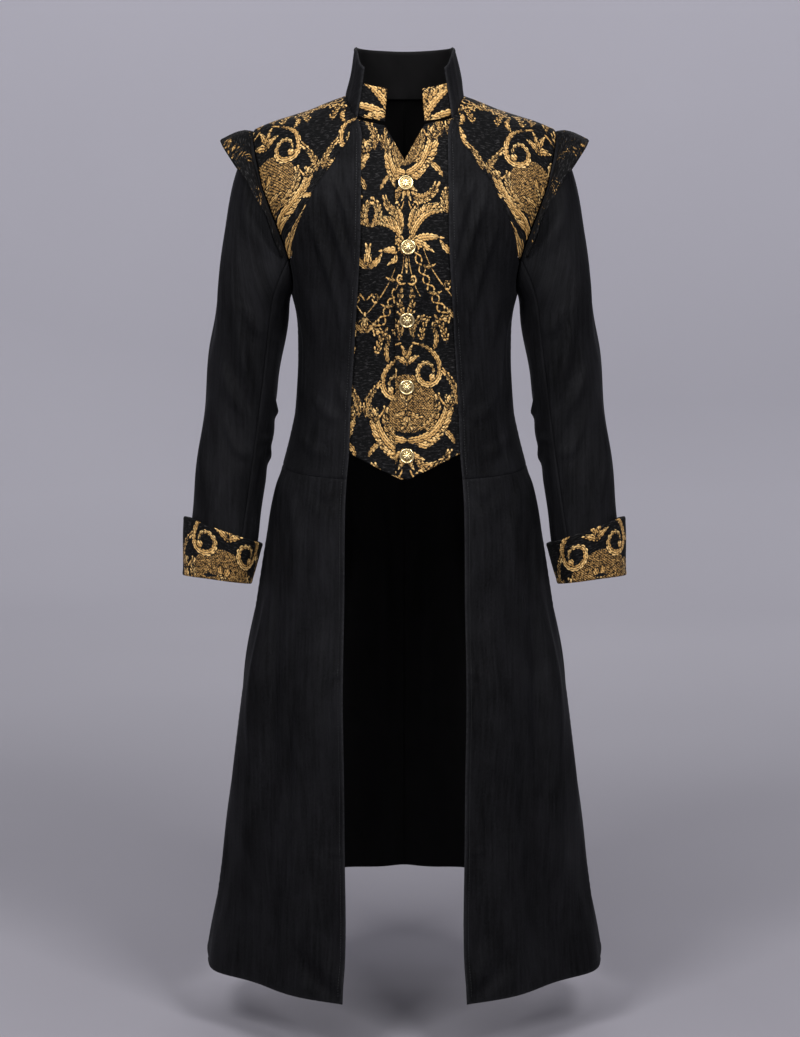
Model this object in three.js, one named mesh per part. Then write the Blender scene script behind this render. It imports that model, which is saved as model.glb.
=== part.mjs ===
// A stand-collar frock coat with a sewn-in waistcoat front, shown as it is worn.
// Velvet: fronts, backs, collar, two-piece sleeves and a flared skirt.
// Brocade: shoulder yokes, shoulder wings, waistcoat front, its collar tabs and the turned-back cuffs.
// Millimetres, +Z up, the front faces -Y, +X is the wearer's left. The origin is the middle of
// the neck opening, level with the points where the shoulder ridges meet the collar.
import * as THREE from "three";

const DEG = Math.PI / 180;

// ---- Walls, gaps and layers ----
const VELVET_WALL = 1.5;
const BROCADE_WALL = 1.2;
const COLLAR_WALL = 2.5;
const WING_WALL = 2.2;
const EDGE_INSET = 0.26; // each edge stands this far back from its seam line
const ARMHOLE_INSET = 1.1; // a sleeve starts this far outside the armhole seam line
const TOP_LAYER = -3; // depth of the buttoned (wearer's left) waistcoat front below the coat
const UNDER_LAYER = -5.7; // depth of the other waistcoat front, which passes under it
const TAB_LAYER = -3.2; // depth of the collar tabs inside the collar

// ---- The figure's shape: level sections of the coat, with the radii of each ----
const SECTIONS = [
  { z: 0, half: 75, front: 42, back: 60, frontPower: 2, backPower: 2 },
  { z: -12, half: 109, front: 53, back: 70, frontPower: 2, backPower: 2 },
  { z: -25, half: 146, front: 63, back: 79, frontPower: 2, backPower: 2 },
  { z: -40, half: 188, front: 74, back: 87, frontPower: 2, backPower: 2 },
  { z: -50, half: 211, front: 80, back: 91, frontPower: 2, backPower: 2 },
  { z: -62, half: 219, front: 85, back: 95, frontPower: 2, backPower: 2 },
  { z: -90, half: 223, front: 96, back: 101, frontPower: 2, backPower: 2 },
  { z: -120, half: 221, front: 105, back: 105, frontPower: 2.05, backPower: 2.05 },
  { z: -150, half: 212, front: 113, back: 107, frontPower: 2.1, backPower: 2.1 },
  { z: -190, half: 194, front: 120, back: 108, frontPower: 2.15, backPower: 2.15 },
  { z: -230, half: 174, front: 123, back: 106, frontPower: 2.2, backPower: 2.2 },
  { z: -275, half: 159, front: 121, back: 100, frontPower: 2.2, backPower: 2.2 },
  { z: -330, half: 151.2, front: 114, back: 93, frontPower: 2.2, backPower: 2.2 },
  { z: -370, half: 150.8, front: 110, back: 90, frontPower: 2.2, backPower: 2.2 },
  { z: -440, half: 155, front: 112, back: 97, frontPower: 2.2, backPower: 2.2 },
  { z: -480, half: 163, front: 115, back: 106, frontPower: 2.2, backPower: 2.2 },
  { z: -530, half: 176, front: 120, back: 119, frontPower: 2.2, backPower: 2.2 },
  { z: -600, half: 193, front: 128, back: 137, frontPower: 2.2, backPower: 2.2 },
  { z: -735, half: 215.5, front: 145, back: 171, frontPower: 2, backPower: 2.2 },
  { z: -842, half: 233, front: 161, back: 198, frontPower: 1.85, backPower: 2.25 },
  { z: -1076, half: 262, front: 196, back: 248, frontPower: 1.56, backPower: 2.3 },
  { z: -1250, half: 287, front: 219, back: 284, frontPower: 1.42, backPower: 2.3 },
];

// ---- Soft flutes of the skirt, as wide swells and troughs that grow towards the hem ----
const FLUTES = [
  { angle: 37, spread: 7, reach: 5 },
  { angle: 53, spread: 8, reach: -6 },
  { angle: 70, spread: 8, reach: 4 },
  { angle: 104, spread: 8, reach: 9 },
  { angle: 118, spread: 7, reach: -9 },
  { angle: 132, spread: 8, reach: 12 },
  { angle: 146, spread: 7, reach: -12 },
  { angle: 160, spread: 8, reach: 10 },
  { angle: 174, spread: 7, reach: -8 },
];
const FLUTE_TOP = -580;
const FLUTE_FULL = -1180;

// ---- Seams and edges on that shape ----
const NECK_LEVEL = -2;
const NECK_FRONT = [
  // from the shoulder ridge to the front corner of the collar
  { x: 80, z: -9.5 },
  { x: 76, z: -20 },
  { x: 65, z: -35 },
];
const SHOULDER_SEAM_ANGLE = 116; // where the shoulder seam meets the collar, behind the ridge
const ARMHOLE = { middle: -163, reach: 112, swing: 27, blunt: 0.7 };
const FRONT_ARMHOLE_STEPS = [0, 15, 30, 45, 60, 75, 90, 103, 115, 127];
const UNDER_ARMHOLE_STEPS = [145, 163, 180];
const SHOULDER_SEAM_STEP = -15;
const YOKE_SEAM = [
  { x: 67, z: -38 },
  { x: 76, z: -61 },
  { x: 91, z: -86 },
  { x: 116.5, z: -122 },
  { x: 139, z: -163 },
  { x: 157, z: -226 },
];
const COAT_FRONT_EDGE = [
  { z: -35, x: 64 },
  { z: -60, x: 59 },
  { z: -95, x: 59.5 },
  { z: -180, x: 59.8 },
  { z: -275, x: 64.5 },
  { z: -415, x: 73.5 },
  { z: -500, x: 77 },
  { z: -540, x: 80.5 },
  { z: -640, x: 83.5 },
  { z: -830, x: 84.7 },
  { z: -1130, x: 83 },
  { z: -1256, x: 85.3 },
];
const WAIST_SEAM = { front: -532, side: -520, back: -524 };
const HEM = { front: -1252, side: -1250, back: -1176 };
const UNDERARM = -275;
const VEST_NECK = [
  // from under the coat's shoulder to the bottom of the V and the closing edge
  { x: 77, z: -27 },
  { x: 64, z: -36 },
  { x: 28, z: -43 },
  { x: 12, z: -72 },
  { x: -4, z: -101 },
  { x: -13, z: -111 },
];
const VEST_HEM = [
  { x: 97, z: -488 },
  { x: 77, z: -497 },
  { x: 50, z: -510 },
  { x: 27, z: -521 },
  { x: 4, z: -532 },
  { x: -13, z: -525 },
];

// ---- Collar, sleeves, wings, cuffs and buttons ----
const COLLAR = { height: 68, tabHeight: 46, lean: 0.2, forward: 0.14, middle: -5 };
const ARM = [
  { z: -300, x: 217, y: 2, half: 52, depth: 66 },
  { z: -390, x: 228, y: 6, half: 52, depth: 64 },
  { z: -485, x: 240, y: 2, half: 51.3, depth: 59 },
  { z: -567, x: 251, y: -8, half: 50.4, depth: 54 },
  { z: -630, x: 259.5, y: -16, half: 49, depth: 51 },
  { z: -695, x: 268.5, y: -24, half: 46.5, depth: 48 },
];
const ARM_TOP = -300;
const SLEEVE_CAP_ROWS = 5;
const SLEEVE_LENGTH_ROWS = 7;
const CAP_OUT = { x: 0.45, y: 0.16, z: -0.87 }; // how the sleeve leaves the armhole
const CAP_DOWN = { x: 0.125, y: 0, z: -1 }; // how it meets the straight arm
const CUFF = { outerTop: -594, innerTop: -632, outerFoot: -677, innerFoot: -690, tilt: 6, wall: 2 };
const CUFF_TOP_STAND_OFF = 7.5;
const CUFF_LIP = 6;
const WING = [
  // the free edge of the shoulder wing, by steps round the armhole; back rows mirror front ones
  { step: 0, x: 260, y: 0, z: -63 },
  { step: 15, x: 254, y: 22, z: -74 },
  { step: 30, x: 243, y: 41, z: -90 },
  { step: 45, x: 230, y: 57, z: -107 },
  { step: 60, x: 215, y: 69, z: -125 },
  { step: 75, x: 200, y: 76, z: -150 },
  { step: 90, x: 189, y: 78, z: -171 },
  { step: 103, x: 179, y: 76, z: -194 },
  { step: 115, x: 171, y: 69, z: -213 },
  { step: 123, x: 165, y: 61, z: -226 },
];
const WING_LIFT = 2.3; // its sewn edge lies this far above the yoke
const WING_STEPS = [
  -123, -115, -103, -90, -75, -60, -45, -30, -15, 0, 15, 30, 45, 60, 75, 90, 103, 115, 123,
];
const BUTTON = { radius: 10.5, back: 9.4, edge: 2.2, height: 3.6, gap: 0.4 };
const BUTTON_PLACES = [
  { x: 1.4, z: -126 },
  { x: 4.7, z: -213.5 },
  { x: 3.2, z: -313.3 },
  { x: 2.8, z: -405 },
  { x: 3.2, z: -499 },
];

// ---- Finishes ----
const FINISHES = {
  velvet: { color: 0x17171a, roughness: 0.92, metalness: 0 },
  brocade: { color: 0x5a4a2c, roughness: 0.7, metalness: 0.1 },
  button: { color: 0xe0cf94, roughness: 0.3, metalness: 0.9 },
};

// Smooth reading of a table: between its rows, column `name` follows key `key` without overshoot.
function column(rows, key, name) {
  const at = rows.map((row) => row[key]);
  const value = rows.map((row) => row[name]);
  const last = rows.length - 1;
  const chord = at.slice(1).map((next, i) => (value[i + 1] - value[i]) / (next - at[i]));
  const slope = value.map((_, i) => {
    if (i === 0) return chord[0];
    if (i === last) return chord[last - 1];
    const product = chord[i - 1] * chord[i];
    return product <= 0 ? 0 : (2 * product) / (chord[i - 1] + chord[i]);
  });
  const sense = Math.sign(at[last] - at[0]);
  return (position) => {
    let i = 0;
    while (i < last - 1 && (position - at[i + 1]) * sense > 0) i += 1;
    const span = at[i + 1] - at[i];
    const t = THREE.MathUtils.clamp((position - at[i]) / span, 0, 1);
    const rise = value[i + 1] - value[i];
    const bend = span * (slope[i] * (1 - t) - slope[i + 1] * t) - rise * (1 - 2 * t);
    return value[i] + rise * t + t * (1 - t) * bend;
  };
}

const half = column(SECTIONS, "z", "half");
const front = column(SECTIONS, "z", "front");
const back = column(SECTIONS, "z", "back");
const frontPower = column(SECTIONS, "z", "frontPower");
const backPower = column(SECTIONS, "z", "backPower");
const coatEdge = column(COAT_FRONT_EDGE, "z", "x");

// The coat's outer surface at an angle in degrees (0 front, 90 wearer's left, 180 back) and a height.
function body(angle, z) {
  const side = Math.sin(angle * DEG);
  const ahead = Math.cos(angle * DEG);
  const depth = ahead > 0 ? front(z) : back(z);
  const bend = 2 / (ahead > 0 ? frontPower(z) : backPower(z));
  const x = half(z) * Math.sign(side) * Math.abs(side) ** bend;
  const y = -depth * Math.sign(ahead) * Math.abs(ahead) ** bend;
  const grow = THREE.MathUtils.clamp((FLUTE_TOP - z) / (FLUTE_TOP - FLUTE_FULL), 0, 1);
  const push = FLUTES.reduce((sum, flute) => {
    const off = (Math.abs(angle) - flute.angle) / flute.spread;
    return sum + flute.reach * Math.exp(-off * off);
  }, 0);
  const stretch = 1 + (push * grow) / Math.hypot(x, y);
  return new THREE.Vector3(x * stretch, y * stretch, z);
}

// ---- Nodes on that surface are (angle, height) pairs ----
const node = (angle, z) => new THREE.Vector2(angle, z);

// The node on the front half at a distance x from the middle plane.
function frontNode(x, z) {
  const share = Math.min(1, Math.abs(x) / half(z));
  return node((Math.sign(x) * Math.asin(share ** (frontPower(z) / 2))) / DEG, z);
}

// The node on the armhole seam: step 0 is the shoulder tip, 90 the front, 180 the underarm.
function armholeNode(step) {
  const across = Math.sin(step * DEG);
  const swing = ARMHOLE.swing * Math.sign(across) * Math.abs(across) ** ARMHOLE.blunt;
  return node(90 - swing, ARMHOLE.middle + ARMHOLE.reach * Math.cos(step * DEG));
}

// A level that runs from its front value over its side value to its back value.
function level(heights, angle) {
  const turn = Math.abs(angle) / 90;
  if (turn < 1) return THREE.MathUtils.lerp(heights.front, heights.side, turn * turn);
  return THREE.MathUtils.lerp(heights.side, heights.back, THREE.MathUtils.smoothstep(turn, 1, 2));
}

function straight(from, to, count) {
  return Array.from({ length: count + 1 }, (_, i) => from.clone().lerp(to, i / count));
}

// Fills four edges with a grid of nodes; the bends of the top and bottom edges fade out quickly.
function fill(left, right, top, bottom) {
  const rows = left.length - 1;
  const columns = top.length - 1;
  const bendOf = (edge, c) => edge[c].clone().sub(edge[0].clone().lerp(edge[columns], c / columns));
  return left.map((start, r) => {
    const down = r / rows;
    return top.map((_, c) => {
      const across = start.clone().lerp(right[r], c / columns);
      across.addScaledVector(bendOf(top, c), (1 - down) ** 3);
      return across.addScaledVector(bendOf(bottom, c), down ** 3);
    });
  });
}

// ---- Solids ----
function surfaceNormal(surface, at) {
  const step = 0.05;
  const along = surface(at.x + step, at.y).sub(surface(at.x - step, at.y));
  const down = surface(at.x, at.y - step).sub(surface(at.x, at.y + step));
  return down.cross(along).normalize();
}

// A closed geometry from points and quads, turned so that its faces point out.
function closedGeometry({ points, quads }) {
  const triangles = quads.flatMap(([a, b, c, d]) => [
    [a, b, c],
    [a, c, d],
  ]);
  const volume = triangles.reduce((sum, [a, b, c]) => {
    return sum + points[a].dot(points[b].clone().cross(points[c]));
  }, 0);
  const index = triangles.flatMap(([a, b, c]) => (volume < 0 ? [a, c, b] : [a, b, c]));
  const geometry = new THREE.BufferGeometry().setFromPoints(points);
  geometry.setIndex(index);
  return geometry;
}

// Moves the outer rows and columns of a grid in by a real distance, to leave the seam gap.
function insetGrid(surface, grid, insets) {
  const rows = grid.length;
  const columns = grid[0].length;
  const moved = grid.map((row) => row.map((at) => at.clone()));
  const pull = (r, c, towardsRow, towardsColumn, distance) => {
    const at = grid[r][c];
    const inner = grid[towardsRow][towardsColumn];
    const length = surface(at.x, at.y).distanceTo(surface(inner.x, inner.y));
    moved[r][c].addScaledVector(inner.clone().sub(at), distance / length);
  };
  for (let r = 0; r < rows; r += 1) {
    pull(r, 0, r, 1, insets.left);
    pull(r, columns - 1, r, columns - 2, insets.right);
  }
  for (let c = 0; c < columns; c += 1) {
    pull(0, c, 1, c, insets.top);
    pull(rows - 1, c, rows - 2, c, insets.bottom);
  }
  return moved;
}

const ALL_EDGES = { left: EDGE_INSET, right: EDGE_INSET, top: EDGE_INSET, bottom: EDGE_INSET };
const SKIRT_FRONT_EDGES = { ...ALL_EDGES, right: 0.8 }; // its side seam turns a sharp corner

// A cloth wall on a surface, between two distances from it, over a grid of nodes.
function wall(surface, grid, outer, thickness, insets = ALL_EDGES) {
  const nodes = insetGrid(surface, grid, insets);
  const rows = nodes.length;
  const columns = nodes[0].length;
  const points = [];
  for (const distance of [outer, outer - thickness]) {
    for (const at of nodes.flat()) {
      points.push(surface(at.x, at.y).addScaledVector(surfaceNormal(surface, at), distance));
    }
  }
  const layer = rows * columns;
  const id = (r, c, k) => k * layer + r * columns + c;
  const quads = [];
  for (let r = 0; r < rows - 1; r += 1) {
    for (let c = 0; c < columns - 1; c += 1) {
      quads.push([id(r, c, 0), id(r, c + 1, 0), id(r + 1, c + 1, 0), id(r + 1, c, 0)]);
      quads.push([id(r, c, 1), id(r + 1, c, 1), id(r + 1, c + 1, 1), id(r, c + 1, 1)]);
    }
  }
  for (let r = 0; r < rows - 1; r += 1) {
    quads.push([id(r, 0, 0), id(r + 1, 0, 0), id(r + 1, 0, 1), id(r, 0, 1)]);
    const last = columns - 1;
    quads.push([id(r + 1, last, 0), id(r, last, 0), id(r, last, 1), id(r + 1, last, 1)]);
  }
  for (let c = 0; c < columns - 1; c += 1) {
    quads.push([id(0, c + 1, 0), id(0, c, 0), id(0, c, 1), id(0, c + 1, 1)]);
    quads.push([id(rows - 1, c, 0), id(rows - 1, c + 1, 0), id(rows - 1, c + 1, 1), id(rows - 1, c, 1)]);
  }
  return { points, quads };
}

// A closed band: a profile of points carried round a ring of steps.
function band(profile, steps) {
  const points = steps.flatMap((step) => profile(step));
  const count = profile(0).length;
  const id = (ring, k) => (ring % steps.length) * count + (k % count);
  const quads = [];
  for (let ring = 0; ring < steps.length; ring += 1) {
    for (let k = 0; k < count; k += 1) {
      quads.push([id(ring, k), id(ring + 1, k), id(ring + 1, k + 1), id(ring, k + 1)]);
    }
  }
  return { points, quads };
}

// ---- Seam lines on the wearer's left; the right side mirrors them ----
const yokeSeam = YOKE_SEAM.map(({ x, z }) => frontNode(x, z));
const neckFront = NECK_FRONT.map(({ x, z }) => frontNode(x, z));
const neckSide = node(90, NECK_LEVEL);
const neckSeam = node(SHOULDER_SEAM_ANGLE, NECK_LEVEL);
const neckBack = node(180, NECK_LEVEL);
const shoulderTip = armholeNode(SHOULDER_SEAM_STEP);
const frontArmhole = FRONT_ARMHOLE_STEPS.map(armholeNode);
const underArmhole = UNDER_ARMHOLE_STEPS.map(armholeNode);
const backArmhole = [...FRONT_ARMHOLE_STEPS.slice(2), ...UNDER_ARMHOLE_STEPS].map((s) => armholeNode(-s));
const sideSeam = straight(node(90, UNDERARM), node(90, WAIST_SEAM.side), 7);

const FRONT_COLUMNS = 8;
const BACK_COLUMNS = 9;
const YOKE_COLUMNS = 6;
const SKIRT_FRONT_COLUMNS = 9;
const SKIRT_BACK_COLUMNS = 12;
const SKIRT_ROWS = 9;

// Nodes along a level between two angles.
function levelEdge(heights, from, to, count) {
  return Array.from({ length: count + 1 }, (_, i) => {
    const angle = THREE.MathUtils.lerp(from, to, i / count);
    return node(angle, level(heights, angle));
  });
}

function frontGrid() {
  const right = [...yokeSeam, frontArmhole.at(-1), ...underArmhole, ...sideSeam.slice(1)];
  const bottomLeft = frontNode(coatEdge(WAIST_SEAM.front), WAIST_SEAM.front);
  const rows = right.length - 1;
  const left = right.map((at, r) => {
    const even = THREE.MathUtils.lerp(yokeSeam[0].y, bottomLeft.y, r / rows);
    const z = r === rows ? bottomLeft.y : (at.y + even) / 2;
    return frontNode(coatEdge(z), z);
  });
  const top = straight(left[0], right[0], FRONT_COLUMNS);
  const bottom = levelEdge(WAIST_SEAM, left.at(-1).x, 90, FRONT_COLUMNS);
  return fill(left, right, top, bottom);
}

function backGrid() {
  const right = [shoulderTip, ...backArmhole, ...sideSeam.slice(1)];
  const rows = right.length - 1;
  const left = right.map((_, r) => node(180, THREE.MathUtils.lerp(NECK_LEVEL, WAIST_SEAM.back, r / rows)));
  const neckColumns = BACK_COLUMNS - YOKE_COLUMNS;
  const neck = straight(neckBack, neckSeam, neckColumns);
  const shoulder = straight(neckSeam, shoulderTip, YOKE_COLUMNS);
  const top = [...neck, ...shoulder.slice(1)];
  const bottom = levelEdge(WAIST_SEAM, 180, 90, BACK_COLUMNS);
  return fill(left, right, top, bottom);
}

function yokeGrid() {
  const left = [neckSeam, neckSide, ...neckFront, ...yokeSeam];
  const right = [shoulderTip, ...frontArmhole];
  return fill(
    left,
    right,
    straight(left[0], right[0], YOKE_COLUMNS),
    straight(left.at(-1), right.at(-1), YOKE_COLUMNS),
  );
}

function skirtFrontGrid() {
  const right = straight(node(90, WAIST_SEAM.side), node(90, HEM.side), SKIRT_ROWS);
  const left = right.map((_, r) => {
    const z = THREE.MathUtils.lerp(WAIST_SEAM.front, HEM.front, r / SKIRT_ROWS);
    return frontNode(coatEdge(z), z);
  });
  const top = levelEdge(WAIST_SEAM, left[0].x, 90, SKIRT_FRONT_COLUMNS);
  const bottom = levelEdge(HEM, left.at(-1).x, 90, SKIRT_FRONT_COLUMNS);
  return fill(left, right, top, bottom);
}

function skirtBackGrid() {
  const right = straight(node(90, WAIST_SEAM.side), node(90, HEM.side), SKIRT_ROWS);
  const left = straight(node(180, WAIST_SEAM.back), node(180, HEM.back), SKIRT_ROWS);
  const top = levelEdge(WAIST_SEAM, 180, 90, SKIRT_BACK_COLUMNS);
  const bottom = levelEdge(HEM, 180, 90, SKIRT_BACK_COLUMNS);
  return fill(left, right, top, bottom);
}

const VEST_ROWS = 14;
const VEST_UNDERLAP = [18, 0]; // how far its first two columns lie under the coat's front edge

function vestGrid() {
  return Array.from({ length: VEST_ROWS + 1 }, (_, r) => {
    return VEST_NECK.map((top, c) => {
      const z = THREE.MathUtils.lerp(top.z, VEST_HEM[c].z, r / VEST_ROWS);
      const between = THREE.MathUtils.lerp(top.x, VEST_HEM[c].x, r / VEST_ROWS);
      const x = c < VEST_UNDERLAP.length ? coatEdge(z) + VEST_UNDERLAP[c] : between;
      return frontNode(x, z);
    });
  });
}

// ---- The stand collar: a surface over (place along the neckline, share of its height) ----
const NECKLINE = [
  frontNode(28, -43),
  ...neckFront.toReversed(),
  neckSide,
  neckSeam,
  ...straight(neckSeam, neckBack, 3).slice(1),
];
const TAB_PLACES = [0, 0.5, 1, 1.5, 2];
const COLLAR_PLACES = [1, 1.5, 2, 2.5, 3, 3.5, 4, 4.5, 5, 5.5, 6, 6.5, 7, 7.5, 8];
const MIDDLE_BACK = NECKLINE.length - 1;

// Beyond the middle of the back the place runs on along the other half of the neckline.
function collarSurface(place, share) {
  const here = place > MIDDLE_BACK ? 2 * MIDDLE_BACK - place : place;
  const from = THREE.MathUtils.clamp(Math.floor(here), 0, MIDDLE_BACK - 1);
  const at = NECKLINE[from].clone().lerp(NECKLINE[from + 1], here - from);
  const base = body(at.x, at.y);
  const outward = new THREE.Vector3(base.x, base.y - COLLAR.middle, 0).normalize();
  const rise = outward.multiplyScalar(-COLLAR.lean).add(new THREE.Vector3(0, -COLLAR.forward, 1));
  base.addScaledVector(rise.normalize(), share * COLLAR.height);
  if (place > MIDDLE_BACK) base.x = -base.x;
  return base;
}

const COLLAR_FOOT = 1.4; // the collar stands this far above the neck seam

function collarGrid() {
  const back = COLLAR_PLACES.slice(0, -1).toReversed();
  const places = [...COLLAR_PLACES, ...back.map((place) => 2 * MIDDLE_BACK - place)];
  const shares = [COLLAR_FOOT / COLLAR.height, 0.5, 1];
  return shares.map((share) => places.map((place) => node(place, share)));
}

function tabGrid() {
  const full = COLLAR.tabHeight / COLLAR.height;
  const shares = [COLLAR_FOOT / COLLAR.height, full / 2, full];
  return shares.map((share) => TAB_PLACES.map((place) => node(place, share)));
}

// ---- Sleeves: a surface over (step round the arm, progress down it from 0 to 2) ----
const armX = column(ARM, "z", "x");
const armY = column(ARM, "z", "y");
const armHalf = column(ARM, "z", "half");
const armDepth = column(ARM, "z", "depth");
const SLEEVE_END = 2; // the sleeve stops this far above the cuff's foot

// A level round the arm, from its outer side to its inner side, a little higher in front.
function armLevel(outer, inner, step) {
  const across = THREE.MathUtils.lerp(inner, outer, (1 + Math.cos(step * DEG)) / 2);
  return across + CUFF.tilt * Math.sin(step * DEG);
}

function armPoint(step, z, standOff) {
  const across = (armHalf(z) + standOff) * Math.cos(step * DEG);
  const ahead = (armDepth(z) + standOff) * Math.sin(step * DEG);
  return new THREE.Vector3(armX(z) + across, armY(z) - ahead, z);
}

function sleeveSurface(step, progress) {
  const foot = armLevel(CUFF.outerFoot, CUFF.innerFoot, step) + SLEEVE_END;
  if (progress > 1) return armPoint(step, THREE.MathUtils.lerp(ARM_TOP, foot, progress - 1), 0);
  const seam = armholeNode(step);
  const start = body(seam.x, seam.y);
  const end = armPoint(step, ARM_TOP, 0);
  const length = start.distanceTo(end);
  const leave = new THREE.Vector3(CAP_OUT.x, -CAP_OUT.y * Math.sin(step * DEG), CAP_OUT.z);
  const arrive = new THREE.Vector3(CAP_DOWN.x, CAP_DOWN.y, CAP_DOWN.z);
  const t = progress;
  return start
    .multiplyScalar(2 * t ** 3 - 3 * t ** 2 + 1)
    .addScaledVector(leave.normalize(), length * (t ** 3 - 2 * t ** 2 + t))
    .addScaledVector(end, 3 * t ** 2 - 2 * t ** 3)
    .addScaledVector(arrive, length * (t ** 3 - t ** 2));
}

function sleeveGrid(steps) {
  const cap = Array.from({ length: SLEEVE_CAP_ROWS }, (_, r) => r / SLEEVE_CAP_ROWS);
  const arm = Array.from({ length: SLEEVE_LENGTH_ROWS + 1 }, (_, r) => 1 + r / SLEEVE_LENGTH_ROWS);
  return [...cap, ...arm].map((progress) => steps.map((step) => node(step, progress)));
}

// The armhole's steps again, so that sleeve and armhole meet point to point.
const UPPER_STEPS = [-103, -90, -75, -60, -45, -30, -15, ...FRONT_ARMHOLE_STEPS];
const UNDER_STEPS = [127, ...UNDER_ARMHOLE_STEPS, 197, 215, 233, 245, 257];
const SLEEVE_EDGES = { left: EDGE_INSET, right: EDGE_INSET, top: ARMHOLE_INSET, bottom: 0 };

// ---- The turned-back cuff: stands off the sleeve at its top, closes on it at its foot ----
const CUFF_STEPS = Array.from({ length: 20 }, (_, i) => i * 18);
const CUFF_FOOT_GAP = 0.9;

function cuffProfile(step) {
  const top = armLevel(CUFF.outerTop, CUFF.innerTop, step);
  const foot = armLevel(CUFF.outerFoot, CUFF.innerFoot, step);
  const middle = (top + foot) / 2;
  const footStandOff = CUFF_FOOT_GAP + CUFF.wall;
  const outside = (z) => THREE.MathUtils.mapLinear(z, foot, top, footStandOff, CUFF_TOP_STAND_OFF);
  return [
    armPoint(step, top, outside(top)),
    armPoint(step, middle, outside(middle)),
    armPoint(step, foot, outside(foot)),
    armPoint(step, foot, CUFF_FOOT_GAP),
    armPoint(step, foot + CUFF_LIP, CUFF_FOOT_GAP),
    armPoint(step, middle, outside(middle) - CUFF.wall),
    armPoint(step, top, outside(top) - CUFF.wall),
  ];
}

// ---- The shoulder wing: from the armhole seam to its free edge ----
const wingX = column(WING, "step", "x");
const wingY = column(WING, "step", "y");
const wingZ = column(WING, "step", "z");

function wingSurface(step, share) {
  const seam = armholeNode(step);
  const root = body(seam.x, seam.y).addScaledVector(surfaceNormal(body, seam), WING_LIFT + WING_WALL);
  const round = Math.abs(step);
  const edge = new THREE.Vector3(wingX(round), -Math.sign(step) * wingY(round), wingZ(round));
  return root.lerp(edge, share);
}

function wingGrid() {
  return [0, 0.5, 1].map((share) => WING_STEPS.map((step) => node(step, share)));
}

const NO_EDGES = { left: 0, right: 0, top: 0, bottom: 0 };

// ---- Buttons: a dished face in a raised rim ----
function buttonGeometry() {
  const { radius, back: backRadius, edge, height } = BUTTON;
  const outline = [
    [0, 0],
    [backRadius, 0],
    [radius, edge / 2],
    [radius, edge],
    [radius - 1, height - 0.4],
    [radius - 2.2, height - 1],
    [radius / 2, height - 0.3],
    [0, height],
  ];
  const segments = 16;
  return new THREE.LatheGeometry(outline.map(([r, h]) => new THREE.Vector2(r, h)), segments);
}

// ---- The coat ----
const coat = new THREE.Group();

// Shells are made for the wearer's left; `flip` of -1 turns one over to the wearer's right.
function sew(name, shell, finish, flip = 1) {
  const points = shell.points.map((at) => new THREE.Vector3(flip * at.x, at.y, at.z));
  return add(name, closedGeometry({ points, quads: shell.quads }), finish);
}

function add(name, geometry, finish) {
  const mesh = new THREE.Mesh(geometry, new THREE.MeshStandardMaterial(FINISHES[finish]));
  mesh.name = name;
  coat.add(mesh);
  return mesh;
}

const SIDES = [
  { side: "left", flip: 1, vestLayer: TOP_LAYER },
  { side: "right", flip: -1, vestLayer: UNDER_LAYER },
];

for (const { side, flip, vestLayer } of SIDES) {
  sew(`front_${side}`, wall(body, frontGrid(), 0, VELVET_WALL), "velvet", flip);
  sew(`back_${side}`, wall(body, backGrid(), 0, VELVET_WALL), "velvet", flip);
  sew(`yoke_${side}`, wall(body, yokeGrid(), 0, BROCADE_WALL), "brocade", flip);
  const skirtFront = wall(body, skirtFrontGrid(), 0, VELVET_WALL, SKIRT_FRONT_EDGES);
  sew(`skirt_front_${side}`, skirtFront, "velvet", flip);
  sew(`skirt_back_${side}`, wall(body, skirtBackGrid(), 0, VELVET_WALL), "velvet", flip);
  const upper = wall(sleeveSurface, sleeveGrid(UPPER_STEPS), 0, VELVET_WALL, SLEEVE_EDGES);
  const under = wall(sleeveSurface, sleeveGrid(UNDER_STEPS), 0, VELVET_WALL, SLEEVE_EDGES);
  sew(`sleeve_upper_${side}`, upper, "velvet", flip);
  sew(`sleeve_under_${side}`, under, "velvet", flip);
  sew(`wing_${side}`, wall(wingSurface, wingGrid(), 0, WING_WALL, NO_EDGES), "brocade", flip);
  sew(`vest_${side}`, wall(body, vestGrid(), vestLayer, BROCADE_WALL, NO_EDGES), "brocade", flip);
  const tab = wall(collarSurface, tabGrid(), TAB_LAYER, BROCADE_WALL, NO_EDGES);
  sew(`vest_collar_${side}`, tab, "brocade", flip);
  sew(`cuff_${side}`, band(cuffProfile, CUFF_STEPS), "brocade", flip);
}

sew("collar", wall(collarSurface, collarGrid(), 0, COLLAR_WALL, NO_EDGES), "velvet");

BUTTON_PLACES.forEach(({ x, z }, i) => {
  const at = frontNode(x, z);
  const normal = surfaceNormal(body, at);
  const button = add(`button_${i + 1}`, buttonGeometry(), "button");
  button.quaternion.setFromUnitVectors(new THREE.Vector3(0, 1, 0), normal);
  button.position.copy(body(at.x, at.y)).addScaledVector(normal, TOP_LAYER + BUTTON.gap);
});

export default coat;
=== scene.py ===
"""A velvet and brocade frock coat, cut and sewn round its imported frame.

Sizes in the tables are millimetres in the frame's own axes: +Z up, the front faces -Y, +X is the
wearer's left. Meshes are written in metres.
"""

import functools
import math

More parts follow.
